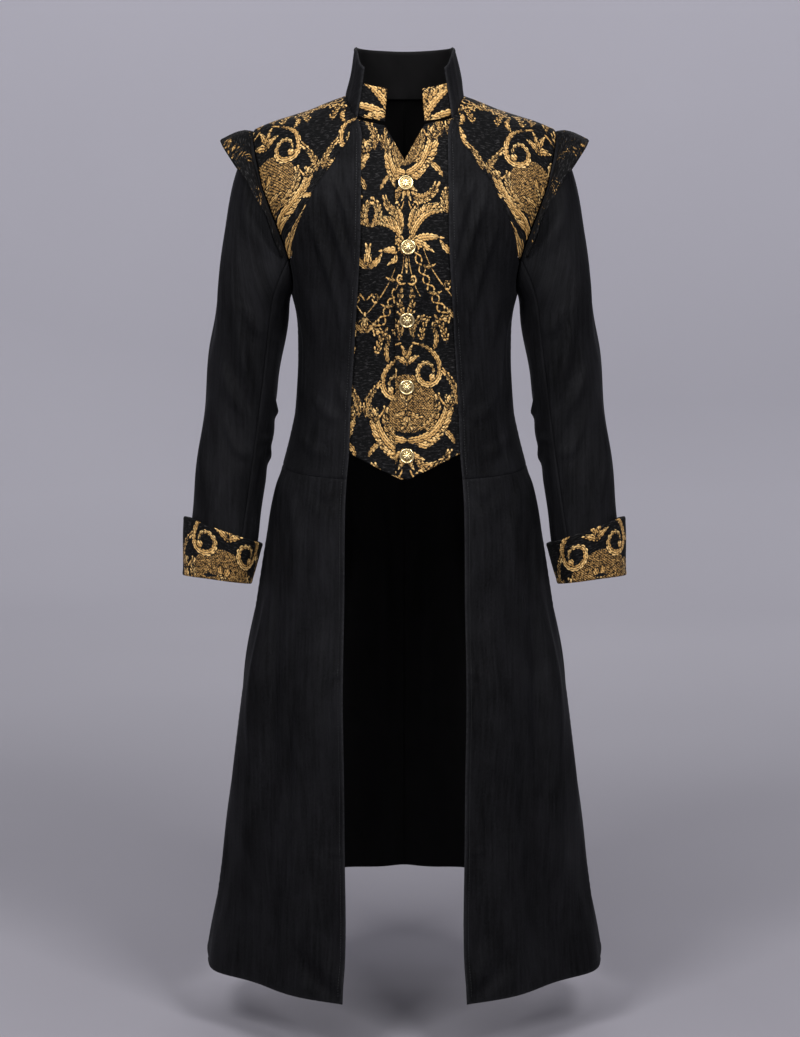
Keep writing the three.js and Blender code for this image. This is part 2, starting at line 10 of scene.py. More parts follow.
import bpy
import numpy as np
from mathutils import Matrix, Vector


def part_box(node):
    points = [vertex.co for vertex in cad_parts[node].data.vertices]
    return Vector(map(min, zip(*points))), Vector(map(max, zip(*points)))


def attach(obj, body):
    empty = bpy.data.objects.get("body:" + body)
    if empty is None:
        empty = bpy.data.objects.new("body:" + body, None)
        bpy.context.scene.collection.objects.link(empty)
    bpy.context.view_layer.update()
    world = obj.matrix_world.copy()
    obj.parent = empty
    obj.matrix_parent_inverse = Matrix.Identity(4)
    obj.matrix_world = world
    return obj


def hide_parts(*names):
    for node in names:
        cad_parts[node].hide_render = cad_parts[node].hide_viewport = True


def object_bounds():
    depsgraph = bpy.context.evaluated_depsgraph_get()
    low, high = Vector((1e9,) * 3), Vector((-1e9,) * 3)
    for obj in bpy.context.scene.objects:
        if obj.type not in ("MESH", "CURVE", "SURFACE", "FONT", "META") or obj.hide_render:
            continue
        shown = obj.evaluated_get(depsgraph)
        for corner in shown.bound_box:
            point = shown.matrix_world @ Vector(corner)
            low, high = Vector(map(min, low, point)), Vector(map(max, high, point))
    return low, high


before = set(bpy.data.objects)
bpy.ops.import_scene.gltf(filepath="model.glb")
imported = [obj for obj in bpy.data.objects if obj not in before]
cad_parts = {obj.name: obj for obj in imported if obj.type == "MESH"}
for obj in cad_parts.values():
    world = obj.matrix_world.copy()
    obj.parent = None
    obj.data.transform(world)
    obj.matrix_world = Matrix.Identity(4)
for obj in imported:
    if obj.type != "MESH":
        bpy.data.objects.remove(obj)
FRAME_BOX = [list(corner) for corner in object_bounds()]

bl_info = {
    "name": "Frock Coat",
    "version": (1, 0, 0),
    "blender": (4, 5, 0),
    "location": "View3D > Sidebar > Frock Coat",
    "description": "Cuts and sews a stand-collar frock coat of velvet and brocade",
    "category": "Add Mesh",
}

MM = 0.001
BODY = "root"
SIDES = {"left": 1, "right": -1}


def table(names, *rows):
    """Rows of numbers with named columns."""
    return [dict(zip(names.split(), row)) for row in rows]


def column(rows, key, name):
    """Smooth reading of a table: column `name` follows column `key` without overshoot."""
    at = np.array([row[key] for row in rows], float)
    value = np.array([row[name] for row in rows], float)
    sense = np.sign(at[-1] - at[0])
    chord = np.diff(value) / np.diff(at)
    product = chord[:-1] * chord[1:]
    total = np.where(product > 0, chord[:-1] + chord[1:], 1)
    slope = np.concatenate([chord[:1], np.where(product > 0, 2 * product / total, 0), chord[-1:]])

    def read(position):
        i = np.searchsorted(sense * at, sense * np.asarray(position), side="right") - 1
        i = np.clip(i, 0, len(at) - 2)
        span = at[i + 1] - at[i]
        t = np.clip((position - at[i]) / span, 0, 1)
        rise = value[i + 1] - value[i]
        bend = span * (slope[i] * (1 - t) - slope[i + 1] * t) - rise * (1 - 2 * t)
        return value[i] + rise * t + t * (1 - t) * bend

    return read


def hump(place):
    """A soft round rise: 1 at place 0, nearly nothing past 2."""
    return np.exp(-(place**2))


# ---- The coat's shape: level sections of the worn coat ----
SECTIONS = table(
    "z half front back front_power back_power",
    (0, 75, 42, 60, 2, 2),
    (-12, 109, 53, 70, 2, 2),
    (-25, 146, 63, 79, 2, 2),
    (-40, 188, 74, 87, 2, 2),
    (-50, 211, 80, 91, 2, 2),
    (-62, 219, 85, 95, 2, 2),
    (-90, 223, 96, 101, 2, 2),
    (-120, 221, 105, 105, 2.05, 2.05),
    (-150, 212, 113, 107, 2.1, 2.1),
    (-190, 194, 120, 108, 2.15, 2.15),
    (-230, 174, 123, 106, 2.2, 2.2),
    (-275, 159, 121, 100, 2.2, 2.2),
    (-330, 151.2, 114, 93, 2.2, 2.2),
    (-370, 150.8, 110, 90, 2.2, 2.2),
    (-440, 155, 112, 97, 2.2, 2.2),
    (-480, 163, 115, 106, 2.2, 2.2),
    (-530, 176, 120, 119, 2.2, 2.2),
    (-600, 193, 128, 137, 2.2, 2.2),
    (-735, 215.5, 145, 171, 2, 2.2),
    (-842, 233, 161, 198, 1.85, 2.25),
    (-1076, 262, 196, 248, 1.56, 2.3),
    (-1250, 287, 219, 284, 1.42, 2.3),
)
FLUTES = table(
    "angle spread reach",
    (37, 7, 5),
    (53, 8, -6),
    (70, 8, 4),
    (104, 8, 9),
    (118, 7, -9),
    (132, 8, 12),
    (146, 7, -12),
    (160, 8, 10),
    (174, 7, -8),
)
FLUTE_TOP = -580
FLUTE_FULL = -1180

# ---- Seams and edges on that shape ----
NECK_LEVEL = -2
NECK_FRONT = table("x z", (80, -9.5), (76, -20), (65, -35))
SHOULDER_SEAM_ANGLE = 116
SHOULDER_SEAM_STEP = -15
YOKE_STEP = 127
ARMHOLE = {"middle": -163, "reach": 112, "swing": 27, "blunt": 0.7}
YOKE_SEAM = table(
    "x z",
    (67, -38),
    (76, -61),
    (91, -86),
    (116.5, -122),
    (139, -163),
    (157, -226),
)
COAT_FRONT_EDGE = table(
    "z x",
    (-35, 64),
    (-60, 59),
    (-95, 59.5),
    (-180, 59.8),
    (-275, 64.5),
    (-415, 73.5),
    (-500, 77),
    (-540, 80.5),
    (-640, 83.5),
    (-830, 84.7),
    (-1130, 83),
    (-1256, 85.3),
)
WAIST_SEAM = {"front": -532, "side": -520, "back": -524}
HEM = {"front": -1252, "side": -1250, "back": -1176}
UNDERARM = -275
VEST_NECK = table("x z", (82, -27), (64, -36), (28, -43), (12, -72), (-4, -101), (-13, -111))
VEST_HEM = table("x z", (94.6, -488), (76.6, -497), (50, -510), (27, -521), (4, -532), (-13, -525))
VEST_UNDERLAP = 18

# ---- Collar, sleeves, wings, cuffs ----
COLLAR = {"height": 68, "tab_height": 46, "lean": 0.2, "forward": 0.14, "middle": -5, "foot": 1.4}
ARM = table(
    "z x y half depth",
    (-300, 217, 2, 52, 66),
    (-390, 228, 6, 52, 64),
    (-485, 240, 2, 51.3, 59),
    (-567, 251, -8, 50.4, 54),
    (-630, 259.5, -16, 49, 51),
    (-695, 268.5, -24, 46.5, 48),
)
ARM_TOP = -300
CAP_OUT = (0.45, 0.16, -0.87)
CAP_DOWN = (0.125, 0, -1)
SLEEVE_SEAMS = (-103, 127, 257)
SLEEVE_END = 2
CUFF = {"outer_top": -594, "inner_top": -632, "outer_foot": -677, "inner_foot": -690, "tilt": 6}
CUFF_STAND = (7.5, 2.9)
CUFF_SEAM = {"step": 205, "width": 1.6, "depth": 0.8}
WING = table(
    "step x y z",
    (0, 260, 0, -63),
    (15, 254, 22, -74),
    (30, 243, 41, -90),
    (45, 230, 57, -107),
    (60, 215, 69, -125),
    (75, 200, 76, -150),
    (90, 189, 78, -171),
    (103, 179, 76, -194),
    (115, 171, 69, -213),
    (123, 165, 61, -226),
)
WING_END = 123
WING_ROOT = 4.5
WING_TUCK = -0.09  # the wing's share that reaches in over the seam
WING_BULGE = 1.6
WING_THIN = {"reach": 8, "outside": 2.3, "wall": 1.1}  # how it thins towards its seam
COLLAR_STEP = 3.2

half = column(SECTIONS, "z", "half")
front = column(SECTIONS, "z", "front")
back = column(SECTIONS, "z", "back")
front_power = column(SECTIONS, "z", "front_power")
back_power = column(SECTIONS, "z", "back_power")
coat_edge = column(COAT_FRONT_EDGE, "z", "x")
arm_x = column(ARM, "z", "x")
arm_y = column(ARM, "z", "y")
arm_half = column(ARM, "z", "half")
arm_depth = column(ARM, "z", "depth")
wing_x = column(WING, "step", "x")
wing_y = column(WING, "step", "y")
wing_z = column(WING, "step", "z")


# ---- Surfaces: each takes two arrays and gives points ----
def body(angle, z):
    """The coat's outer face by height and angle (0 front, 90 the wearer's left, 180 back)."""
    angle, z = np.broadcast_arrays(np.asarray(angle, float), np.asarray(z, float))
    side = np.sin(np.radians(angle))
    ahead = np.cos(np.radians(angle))
    depth = np.where(ahead > 0, front(z), back(z))
    bend = 2 / np.where(ahead > 0, front_power(z), back_power(z))
    x = half(z) * np.sign(side) * np.abs(side) ** bend
    y = -depth * np.sign(ahead) * np.abs(ahead) ** bend
    grow = np.clip((FLUTE_TOP - z) / (FLUTE_TOP - FLUTE_FULL), 0, 1)
    turn = np.abs(angle)
    push = sum(row["reach"] * hump((turn - row["angle"]) / row["spread"]) for row in FLUTES)
    stretch = 1 + push * grow / np.hypot(x, y)
    return np.stack([x * stretch, y * stretch, z], axis=-1)


def front_node(x, z):
    """The (angle, height) node on the front half at a distance x from the middle plane."""
    share = np.minimum(1, np.abs(x) / half(z))
    angle = np.sign(x) * np.degrees(np.arcsin(share ** (front_power(z) / 2)))
    return np.stack(np.broadcast_arrays(angle, np.asarray(z, float)), axis=-1)


def front_face(x, z):
    """The coat's front by distance from the middle plane and height."""
    nodes = front_node(x, z)
    return body(nodes[..., 0], nodes[..., 1])


def armhole_node(step):
    """The node on the armhole seam: step 0 is the shoulder tip, 90 the front, 180 the underarm."""
    across = np.sin(np.radians(step))
    swing = ARMHOLE["swing"] * np.sign(across) * np.abs(across) ** ARMHOLE["blunt"]
    z = ARMHOLE["middle"] + ARMHOLE["reach"] * np.cos(np.radians(step))
    return np.stack([90 - swing, z], axis=-1)


def level(heights, angle):
    """A level that runs from its front value over its side value to its back value."""
    turn = np.abs(angle) / 90
    past = np.clip(turn - 1, 0, 1)
    ahead = heights["front"] + (heights["side"] - heights["front"]) * turn**2
    behind = heights["side"] + (heights["back"] - heights["side"]) * past**2 * (3 - 2 * past)
    return np.where(turn < 1, ahead, behind)


def facing(surface, nodes):
    """Unit normals that point out of the coat."""
    step = 0.05
    u, v = nodes[..., 0], nodes[..., 1]
    along = surface(u + step, v) - surface(u - step, v)
    down = surface(u, v - step) - surface(u, v + step)
    normal = np.cross(down, along)
    return normal / np.linalg.norm(normal, axis=-1, keepdims=True)


def smooth(nodes, steps=12):
    """A smooth line through a few nodes."""
    rows = [{"i": i, "u": u, "v": v} for i, (u, v) in enumerate(nodes)]
    at = np.linspace(0, len(rows) - 1, steps * (len(rows) - 1) + 1)
    return np.stack([column(rows, "i", "u")(at), column(rows, "i", "v")(at)], axis=-1)


def straight(start, end, count=40):
    return np.linspace(start, end, count + 1)


def across_level(heights, start, end):
    angle = np.linspace(start, end, 61)
    return np.stack([angle, level(heights, angle)], axis=-1)


NECK_SIDE = np.array([90.0, NECK_LEVEL])
NECK_SEAM = np.array([float(SHOULDER_SEAM_ANGLE), NECK_LEVEL])
NECK_BACK = np.array([180.0, NECK_LEVEL])
neck_front = [front_node(row["x"], row["z"]) for row in NECK_FRONT]
yoke_nodes = [front_node(row["x"], row["z"]) for row in YOKE_SEAM]
yoke_seam = smooth(yoke_nodes)
SHOULDER_TIP = armhole_node(float(SHOULDER_SEAM_STEP))
side_seam = straight((90.0, UNDERARM), (90.0, WAIST_SEAM["side"]))
NECKLINE = [
    front_node(28.0, -43.0),
    *neck_front[::-1],
    NECK_SIDE,
    NECK_SEAM,
    *straight(NECK_SEAM, NECK_BACK, 3)[1:],
]
MIDDLE_BACK = len(NECKLINE) - 1
neckline_rows = [{"i": i, "angle": n[0], "z": n[1]} for i, n in enumerate(NECKLINE)]
neckline_angle = column(neckline_rows, "i", "angle")
neckline_z = column(neckline_rows, "i", "z")


def collar_face(place, share):
    """The stand collar by place along the neckline and share of its height."""
    place, share = np.broadcast_arrays(np.asarray(place, float), np.asarray(share, float))
    here = np.where(place > MIDDLE_BACK, 2 * MIDDLE_BACK - place, place)
    base = body(neckline_angle(here), neckline_z(here))
    out = np.stack([base[..., 0], base[..., 1] - COLLAR["middle"]], axis=-1)
    out = out / np.linalg.norm(out, axis=-1, keepdims=True)
    rise = -COLLAR["lean"] * out - np.array([0, COLLAR["forward"]])
    rise = np.concatenate([rise, np.ones_like(rise[..., :1])], axis=-1)
    rise = rise / np.linalg.norm(rise, axis=-1, keepdims=True)
    point = base + rise * (share * COLLAR["height"])[..., None]
    point[..., 0] *= np.where(place > MIDDLE_BACK, -1, 1)
    return point


def arm_level(outer, inner, step):
    """A level round the arm, from its outer side to its inner side, a little higher in front."""
    turn = np.radians(step)
    return inner + (outer - inner) * (1 + np.cos(turn)) / 2 + CUFF["tilt"] * np.sin(turn)


def arm_point(step, z, stand_off):
    turn = np.radians(step)
    x = arm_x(z) + (arm_half(z) + stand_off) * np.cos(turn)
    y = arm_y(z) - (arm_depth(z) + stand_off) * np.sin(turn)
    return np.stack(np.broadcast_arrays(x, y, z), axis=-1)


def sleeve_face(step, progress):
    """The sleeve by step round the arm and progress down it: 0 armhole, 1 straight arm, 2 mouth."""
    step, progress = np.broadcast_arrays(np.asarray(step, float), np.asarray(progress, float))
    foot = arm_level(CUFF["outer_foot"], CUFF["inner_foot"], step) + SLEEVE_END
    lower = arm_point(step, ARM_TOP + (foot - ARM_TOP) * np.clip(progress - 1, 0, 1.1), 0)
    seam = armhole_node(step)
    start = body(seam[..., 0], seam[..., 1])
    end = arm_point(step, np.full_like(step, ARM_TOP), 0)
    length = np.linalg.norm(end - start, axis=-1)[..., None]
    out = np.stack(
        [
            np.full_like(step, CAP_OUT[0]),
            -CAP_OUT[1] * np.sin(np.radians(step)),
            np.full_like(step, CAP_OUT[2]),
        ],
        axis=-1,
    )
    out = out / np.linalg.norm(out, axis=-1, keepdims=True)
    t = np.clip(progress, -0.1, 1)[..., None]
    cap = start * (2 * t**3 - 3 * t**2 + 1) + out * length * (t**3 - 2 * t**2 + t)
    cap = cap + end * (3 * t**2 - 2 * t**3) + np.array(CAP_DOWN) * length * (t**3 - t**2)
    return np.where((progress > 1)[..., None], lower, cap)


def cuff_face(step, share):
    """The turned-back cuff by step round the arm and share down from its top edge to its foot."""
    step, share = np.broadcast_arrays(np.asarray(step, float), np.asarray(share, float))
    top = arm_level(CUFF["outer_top"], CUFF["inner_top"], step)
    foot = arm_level(CUFF["outer_foot"], CUFF["inner_foot"], step)
    stand_off = CUFF_STAND[0] + (CUFF_STAND[1] - CUFF_STAND[0]) * share
    return arm_point(step, top + (foot - top) * share, stand_off)


def wing_face(step, share):
    """The shoulder wing by step round the armhole and share out from its seam."""
    step, share = np.broadcast_arrays(np.asarray(step, float), np.asarray(share, float))
    seam = armhole_node(step)
    root = body(seam[..., 0], seam[..., 1]) + facing(body, seam) * WING_ROOT
    round_ = np.abs(step)
    edge = np.stack([wing_x(round_), -np.sign(step) * wing_y(round_), wing_z(round_)], axis=-1)
    return root + (edge - root) * share[..., None]


# ---- Cutting: grids of nodes between four edges ----
FINE_ROWS = (0.7, 1.8, 3.4, 5.6)
SEAM_INSETS = (0.03, 0.03, 0.03, 0.03)
MIDDLE_BACK_INSETS = (0, 0.03, 0.03, 0.03)
SKIRT_FRONT_INSETS = (0.03, 0.2, 0.03, 0.03)
SLEEVE_INSETS = (0.12, 0.12, 0.9, 0)
UNCUT = (0, 0, 0, 0)


def shares_of(length, step, insets):
    """Shares along a length: even in the middle, closer together at both ends."""
    lead = np.array(FINE_ROWS)
    inner = length - insets[0] - insets[1]
    count = max(2, round((inner - 2 * lead[-1]) / step))
    middle = np.linspace(lead[-1], inner - lead[-1], count + 1)
    at = np.concatenate([[0], lead[:-1], middle, inner - lead[-2::-1], [inner]])
    return (at + insets[0]) / length


def read_edge(surface, stretches):
    """Reads an edge of joined stretches by share of real length; also its length and corners."""
    nodes = np.vstack([stretches[0], *[stretch[1:] for stretch in stretches[1:]]])
    run = np.linalg.norm(np.diff(surface(nodes[:, 0], nodes[:, 1]), axis=0), axis=1)
    run = np.concatenate([[0], np.cumsum(run)])
    at = run / run[-1]
    corners = at[np.cumsum([len(stretch) - 1 for stretch in stretches])[:-1]]

    def read(share):
        return np.stack([np.interp(share, at, nodes[:, k]) for k in range(2)], axis=-1)

    return read, run[-1], corners


def cut(surface, left, right, top, bottom, step, insets=SEAM_INSETS):
    """A grid of nodes between four edges, each a list of stretches.

    The insets draw the piece in from its edges, in millimetres: left, right, top, bottom.
    """
    read_left, left_length, left_corners = read_edge(surface, left)
    read_right, right_length, right_corners = read_edge(surface, right)
    read_top, top_length, _ = read_edge(surface, top)
    read_bottom, bottom_length, _ = read_edge(surface, bottom)
    down = shares_of(max(left_length, right_length), step, insets[2:])
    for corner in (*left_corners, *right_corners):
        down[np.abs(down - corner).argmin()] = corner
    across = shares_of(max(top_length, bottom_length, 40.0), step, insets[:2])
    start = read_left(down)[:, None]
    end = read_right(down)[:, None]
    share = across[None, :, None]
    grid = start + (end - start) * share
    for read, fade in ((read_top, (1 - down) ** 3), (read_bottom, down**3)):
        bend = read(across) - (read(0.0) + (read(1.0) - read(0.0)) * across[:, None])
        grid = grid + bend[None] * fade[:, None, None]
    return grid


def beside(place, line, reach):
    """Which places lie near a line, its stretches, and each place's share along them and offset."""
    near = ((place > line.min(axis=0) - reach) & (place < line.max(axis=0) + reach)).all(axis=-1)
    run = np.diff(line, axis=0)
    away = place[near][:, None] - line[:-1]
    share = np.clip((away * run).sum(-1) / (run * run).sum(-1), 0, 1)
    return near, run, share, away - run * share[..., None]


# ---- Folds: soft ridges along listed paths; a negative height makes a trough ----
FOLD_REACH = 4.2
FOLD_TROUGH = 0.42  # the cloth beside a ridge sinks by this share of its height


def fold_relief(nodes, folds, scale):
    """Height of the folds at nodes. Each fold has a path of nodes, a width and a height."""
    place = nodes * np.array([scale, 1.0])
    relief = np.zeros(nodes.shape[:-1])
    for path, width, height in folds:
        line = smooth(np.array(path) * np.array([scale, 1.0]), 5)
        near, run, share, away = beside(place, line, FOLD_REACH * width)
        away = np.linalg.norm(away, axis=-1)
        k = away.argmin(axis=1)
        row = np.arange(len(k))
        along = (k + share[row, k]) / len(run)
        taper = np.sin(math.pi * np.clip(along, 0, 1)) ** 0.7
        gap = away[row, k] / (width * (0.65 + 0.35 * taper))
        relief[near] += height * taper * (hump(gap) - FOLD_TROUGH * hump(gap / 2.1 - 0.35))
    return relief


SWAY_WAVES = ((1.0, 0.4, 0.5), (-0.7, 1.0, 0.3), (0.3, -0.8, 0.9), (0.9, 0.6, -0.4))


def sway(points, length, amount):
    """A slow unevenness of the cloth, the same on every run."""
    total = np.zeros(points.shape[:-1])
    for i, heading in enumerate(SWAY_WAVES):
        phase = points @ np.array(heading) * (2 * math.pi / (length * (1 + 0.23 * i)))
        total = total + np.sin(phase + 1.7 * i)
    return total * amount / 2


FOLD_SCALE = 2.7  # millimetres of cloth for each degree round the body
SLEEVE_SCALE = 0.95  # and round the arm

# Front folds are by distance from the middle plane and height: path, width, height.
BODICE_FOLDS = (
    (((63, -262), (76, -180), (97, -108)), 5, 2.6),
    (((61, -226), (71, -160), (84, -96)), 4, 2.2),
    (((60, -186), (67, -140), (76, -84)), 4, 1.8),
    (((68, -304), (88, -210), (114, -132)), 6, 2.6),
    (((84, -340), (108, -240), (132, -170)), 8, 2.2),
    (((84, -305), (78, -322), (70, -340)), 5, -1.5),
    (((118, -250), (128, -300), (122, -352)), 15, 1.6),
    (((96, -392), (84, -418), (80, -440)), 9, 1.5),
    (((96, -468), (86, -452), (74, -432)), 5, -1.3),
    (((150, -300), (138, -356), (142, -420)), 13, 1.8),
    (((132, -412), (110, -440), (90, -452)), 9, 1.3),
    (((150, -470), (128, -492), (104, -500)), 9, 1.4),
    (((140, -515), (134, -480), (126, -440)), 10, -1.5),
)
SKIRT_FOLDS = (
    (((88, -546), (108, -566), (132, -548)), 10, -1.6),
    (((100, -560), (112, -610), (118, -680)), 12, 1.6),
    (((160, -545), (150, -620), (152, -700)), 14, 2.0),
    (((176, -600), (184, -760), (190, -960)), 13, -4.0),
    (((158, -850), (161, -930), (166, -1020)), 9, -3.0),
    (((149, -880), (152, -990), (150, -1110)), 11, 3.0),
    (((200, -700), (214, -900), (232, -1180)), 15, 3.4),
    (((122, -720), (126, -900), (122, -1130)), 16, 2.2),
    (((88, -792), (95, -801), (104, -806)), 4, 1.2),
    (((88, -1040), (98, -1046), (110, -1044)), 4, 1.1),
    (((90, -1238), (110, -1200), (128, -1150)), 8, 1.8),
    (((96, -1246), (124, -1222), (150, -1180)), 8, -1.8),
    (((180, -1248), (184, -1190), (182, -1110)), 12, -2.4),
    (((214, -1246), (212, -1180), (206, -1090)), 13, 2.2),
)
# Back folds are by angle and height.
BACK_FOLDS = (
    (((172, -60), (150, -110), (128, -150)), 10, 1.6),
    (((150, -150), (140, -220), (120, -280)), 11, 2.0),
    (((168, -190), (160, -280), (150, -370)), 14, 1.8),
    (((112, -262), (122, -300), (140, -330)), 8, 2.0),
    (((104, -300), (118, -350), (138, -372)), 9, 1.7),
    (((98, -388), (120, -402), (146, -398)), 10, -2.0),
    (((102, -430), (126, -428), (154, -420)), 9, 1.6),
    (((172, -395), (152, -440), (140, -500)), 11, 1.5),
    (((118, -512), (122, -470), (132, -430)), 9, -1.6),
)
SKIRT_BACK_FOLDS = (
    (((104, -540), (104, -700), (103, -950)), 12, 2.6),
    (((118, -530), (117, -640), (118, -820)), 11, -2.8),
    (((132, -545), (133, -720), (132, -1000)), 13, 3.2),
    (((147, -530), (146, -640), (146, -900)), 11, -3.0),
    (((160, -536), (161, -700), (160, -940)), 12, 2.8),
    (((172, -560), (173, -760), (174, -1000)), 10, -2.4),
    (((95, -760), (97, -900), (96, -1180)), 10, -2.0),
    (((111, -980), (112, -1080), (111, -1190)), 8, 1.8),
    (((126, -1010), (125, -1100), (126, -1195)), 9, -2.0),
    (((152, -1000), (153, -1080), (152, -1180)), 9, 2.2),
)
# Sleeve folds are by step round the arm and height.
SLEEVE_FOLDS = (
    (((40, -110), (72, -180), (118, -236)), 9, 2.4),
    (((60, -96), (92, -160), (128, -210)), 8, 2.0),
    (((92, -250), (116, -290), (150, -312)), 7, 2.2),
    (((80, -292), (112, -330), (156, -346)), 8, 2.4),
    (((52, -250), (78, -330), (96, -400)), 12, 2.0),
    (((76, -322), (100, -392), (132, -452)), 9, 3.2),
    (((50, -372), (84, -424), (130, -470)), 9, 2.4),
    (((96, -446), (124, -478), (170, -486)), 6, 2.2),
    (((70, -452), (104, -500), (150, -508)), 7, 2.0),
    (((150, -420), (180, -446), (214, -440)), 7, 2.4),
    (((160, -496), (196, -512), (232, -500)), 8, 2.0),
    (((30, -420), (36, -500), (60, -575)), 12, 1.8),
    (((84, -528), (72, -580), (66, -640)), 10, 1.6),
    (((118, -540), (134, -590), (140, -640)), 9, -1.6),
    (((-20, -160), (-26, -260), (-18, -350)), 14, 1.8),
    (((10, -210), (14, -300), (8, -380)), 13, -1.6),
    (((-70, -150), (-84, -210), (-112, -260)), 9, 2.2),
    (((-60, -300), (-84, -380), (-120, -440)), 10, 2.2),
    (((-50, -420), (-70, -480), (-110, -520)), 9, 2.0),
    (((-30, -450), (-34, -540), (-40, -620)), 12, 1.6),
    (((240, -330), (222, -380), (200, -410)), 9, 1.8),
)
VEST_FOLDS = (
    (((52, -150), (30, -170), (6, -214)), 9, 0.9),
    (((54, -262), (34, -290), (8, -312)), 9, -0.9),
    (((60, -350), (36, -374), (6, -404)), 9, 0.9),
    (((66, -440), (40, -462), (8, -498)), 9, -0.8),
)


def from_front(folds):
    """Folds given in front view, as (angle, height) paths."""
    return [
        ([front_node(float(x), float(z)) for x, z in path], width, height)
        for path, width, height in folds
    ]


# ---- Brocade: a leaf-scroll damask charted in strokes ----
REPEAT = 366.0
HALF_TILE = 85.0
CHART_LOW = -335.0
CHART_PITCH = 0.5
CHART_MARGIN = 8.0
WEAVE_DRIFT = 0.7  # how far the weave strays from the chart
OUTLINE = 1.2
WEIGHT = 0.86
TEETH = {"pitch": 7.0, "depth": 1.1, "least": 1.5}
VEIN = {"width": 0.9, "place": 0.36, "least": 2.0}
BARE = 30.0  # how far from gold a bare place counts
FIELD = {"middle": (0.0, -50.0), "half": (48.0, 40.0), "pitch": 3.8, "thread": 0.9, "tone": -0.35}


def bow(start, heading, length, turn, widths, bias=1.0, steps=12):
    """A tapering stroke that leaves start at a heading and turns; a bias over 1 curls its end.

    All strokes are a line of chart places with the stroke's half width at each.
    """
    share = np.linspace(0, 1, steps + 1)
    middle = (share[:-1] + share[1:]) / 2
    angle = np.radians(heading + turn * middle**bias)
    stride = length / steps * np.stack([np.cos(angle), np.sin(angle)], axis=-1)
    line = np.vstack([start, np.asarray(start) + np.cumsum(stride, axis=0)])
    radii = np.interp(share, np.linspace(0, 1, len(widths)), widths) / 2
    return line, radii


LEAF = (0.7, 0.8, 1.0, 0.92, 0.6, 0.08)


def leaf(start, heading, length, width, turn=0.0):
    return [bow(start, heading, length, turn, [width * share for share in LEAF])]


def stem(start, heading, length, turn, width):
    return [bow(start, heading, length, turn, (width * 0.5, width, width * 0.6), 1.0, 20)]


def dot(middle, radius):
    middle = np.asarray(middle, float)
    return [(np.array([middle, middle + 0.01]), np.array([radius, radius]))]


def heading_at(line, i):
    return math.degrees(math.atan2(*(line[i + 1] - line[i])[::-1]))


def scroll(start, heading, length, turn, width, eye):
    """A C-scroll that tightens towards a round eye."""
    widths = [width * share for share in (0.3, 0.9, 1, 0.8, 0.5)]
    line, radii = bow(start, heading, length, turn, widths, 1.8, 30)
    return [(line, radii), *dot(line[-1], eye)]


def acanthus(start, heading, length, turn, width, lobes):
    """A curled acanthus leaf: a spine with lobes along its outer side, each over the next one."""
    widths = [width * share for share in (0.5, 0.62, 0.5, 0.3)]
    line, radii = bow(start, heading, length, turn, widths, 1.25, 24)
    strokes = []
    for place in np.linspace(0.95, 0.1, lobes):
        i = min(22, int(place * 23))
        out = -math.copysign(1, turn)
        reach = width * (1.5 - 0.6 * place)
        strokes += leaf(line[i], heading_at(line, i) + out * 50, reach, width * 0.62, -out * 55)
    return [*strokes, (line, radii)]


def fan(start, headings, lengths, width, turn=0.0):
    """Leaves spread from one point."""
    return sum((leaf(start, *spray, width, turn) for spray in zip(headings, lengths)), [])


def frond(start, heading, length, turn, leaflet, width, count=5, bias=1.0):
    """A stem with leaflets on both sides that shorten towards its tip."""
    widths = [width * 0.45, width * 0.5, width * 0.2]
    line, radii = bow(start, heading, length, turn, widths, bias, 16)
    strokes = [(line, radii)]
    for place in np.linspace(0.12, 0.92, count):
        i = int(place * 15)
        reach = leaflet * (1.15 - 0.6 * place)
        for side in (-1, 1):
            strokes += leaf(line[i], heading_at(line, i) + side * 48, reach, width, side * -38)
    strokes += leaf(line[-1], heading + turn, leaflet * 0.7, width)
    return strokes


def twist(start, heading, length, turn, swing, wave, width):
    """Two strands that pass over and under each other in a chain, with a bead in each eye."""
    spine, _ = bow(start, heading, length, turn, (1, 1), 1.0, 72)
    along = np.gradient(spine, axis=0)
    along /= np.linalg.norm(along, axis=1)[:, None]
    across = np.stack([-along[:, 1], along[:, 0]], axis=-1)
    phase = np.linspace(0, length, len(spine)) / wave * 2 * math.pi
    strands = [spine + across * (side * swing * np.sin(phase))[:, None] for side in (-1, 1)]
    half_wave = wave / 2 / length * 72
    strokes = []
    for k in range(int(2 * length / wave)):
        cut_at = slice(max(0, int((k - 0.1) * half_wave)), int((k + 1.1) * half_wave) + 1)
        for strand in (strands[k % 2], strands[1 - k % 2]):
            strokes.append((strand[cut_at], np.full(len(strand[cut_at]), width / 2)))
    return strokes


def heart(middle, size):
    """Two round lobes that run down to one point."""
    a, h = middle
    lobes = [np.array([a + side * size * 0.42, h + size * 0.25]) for side in (-1, 1)]
    return [(np.array([lobe, (a, h - size)]), np.array([size * 0.5, size * 0.1])) for lobe in lobes]


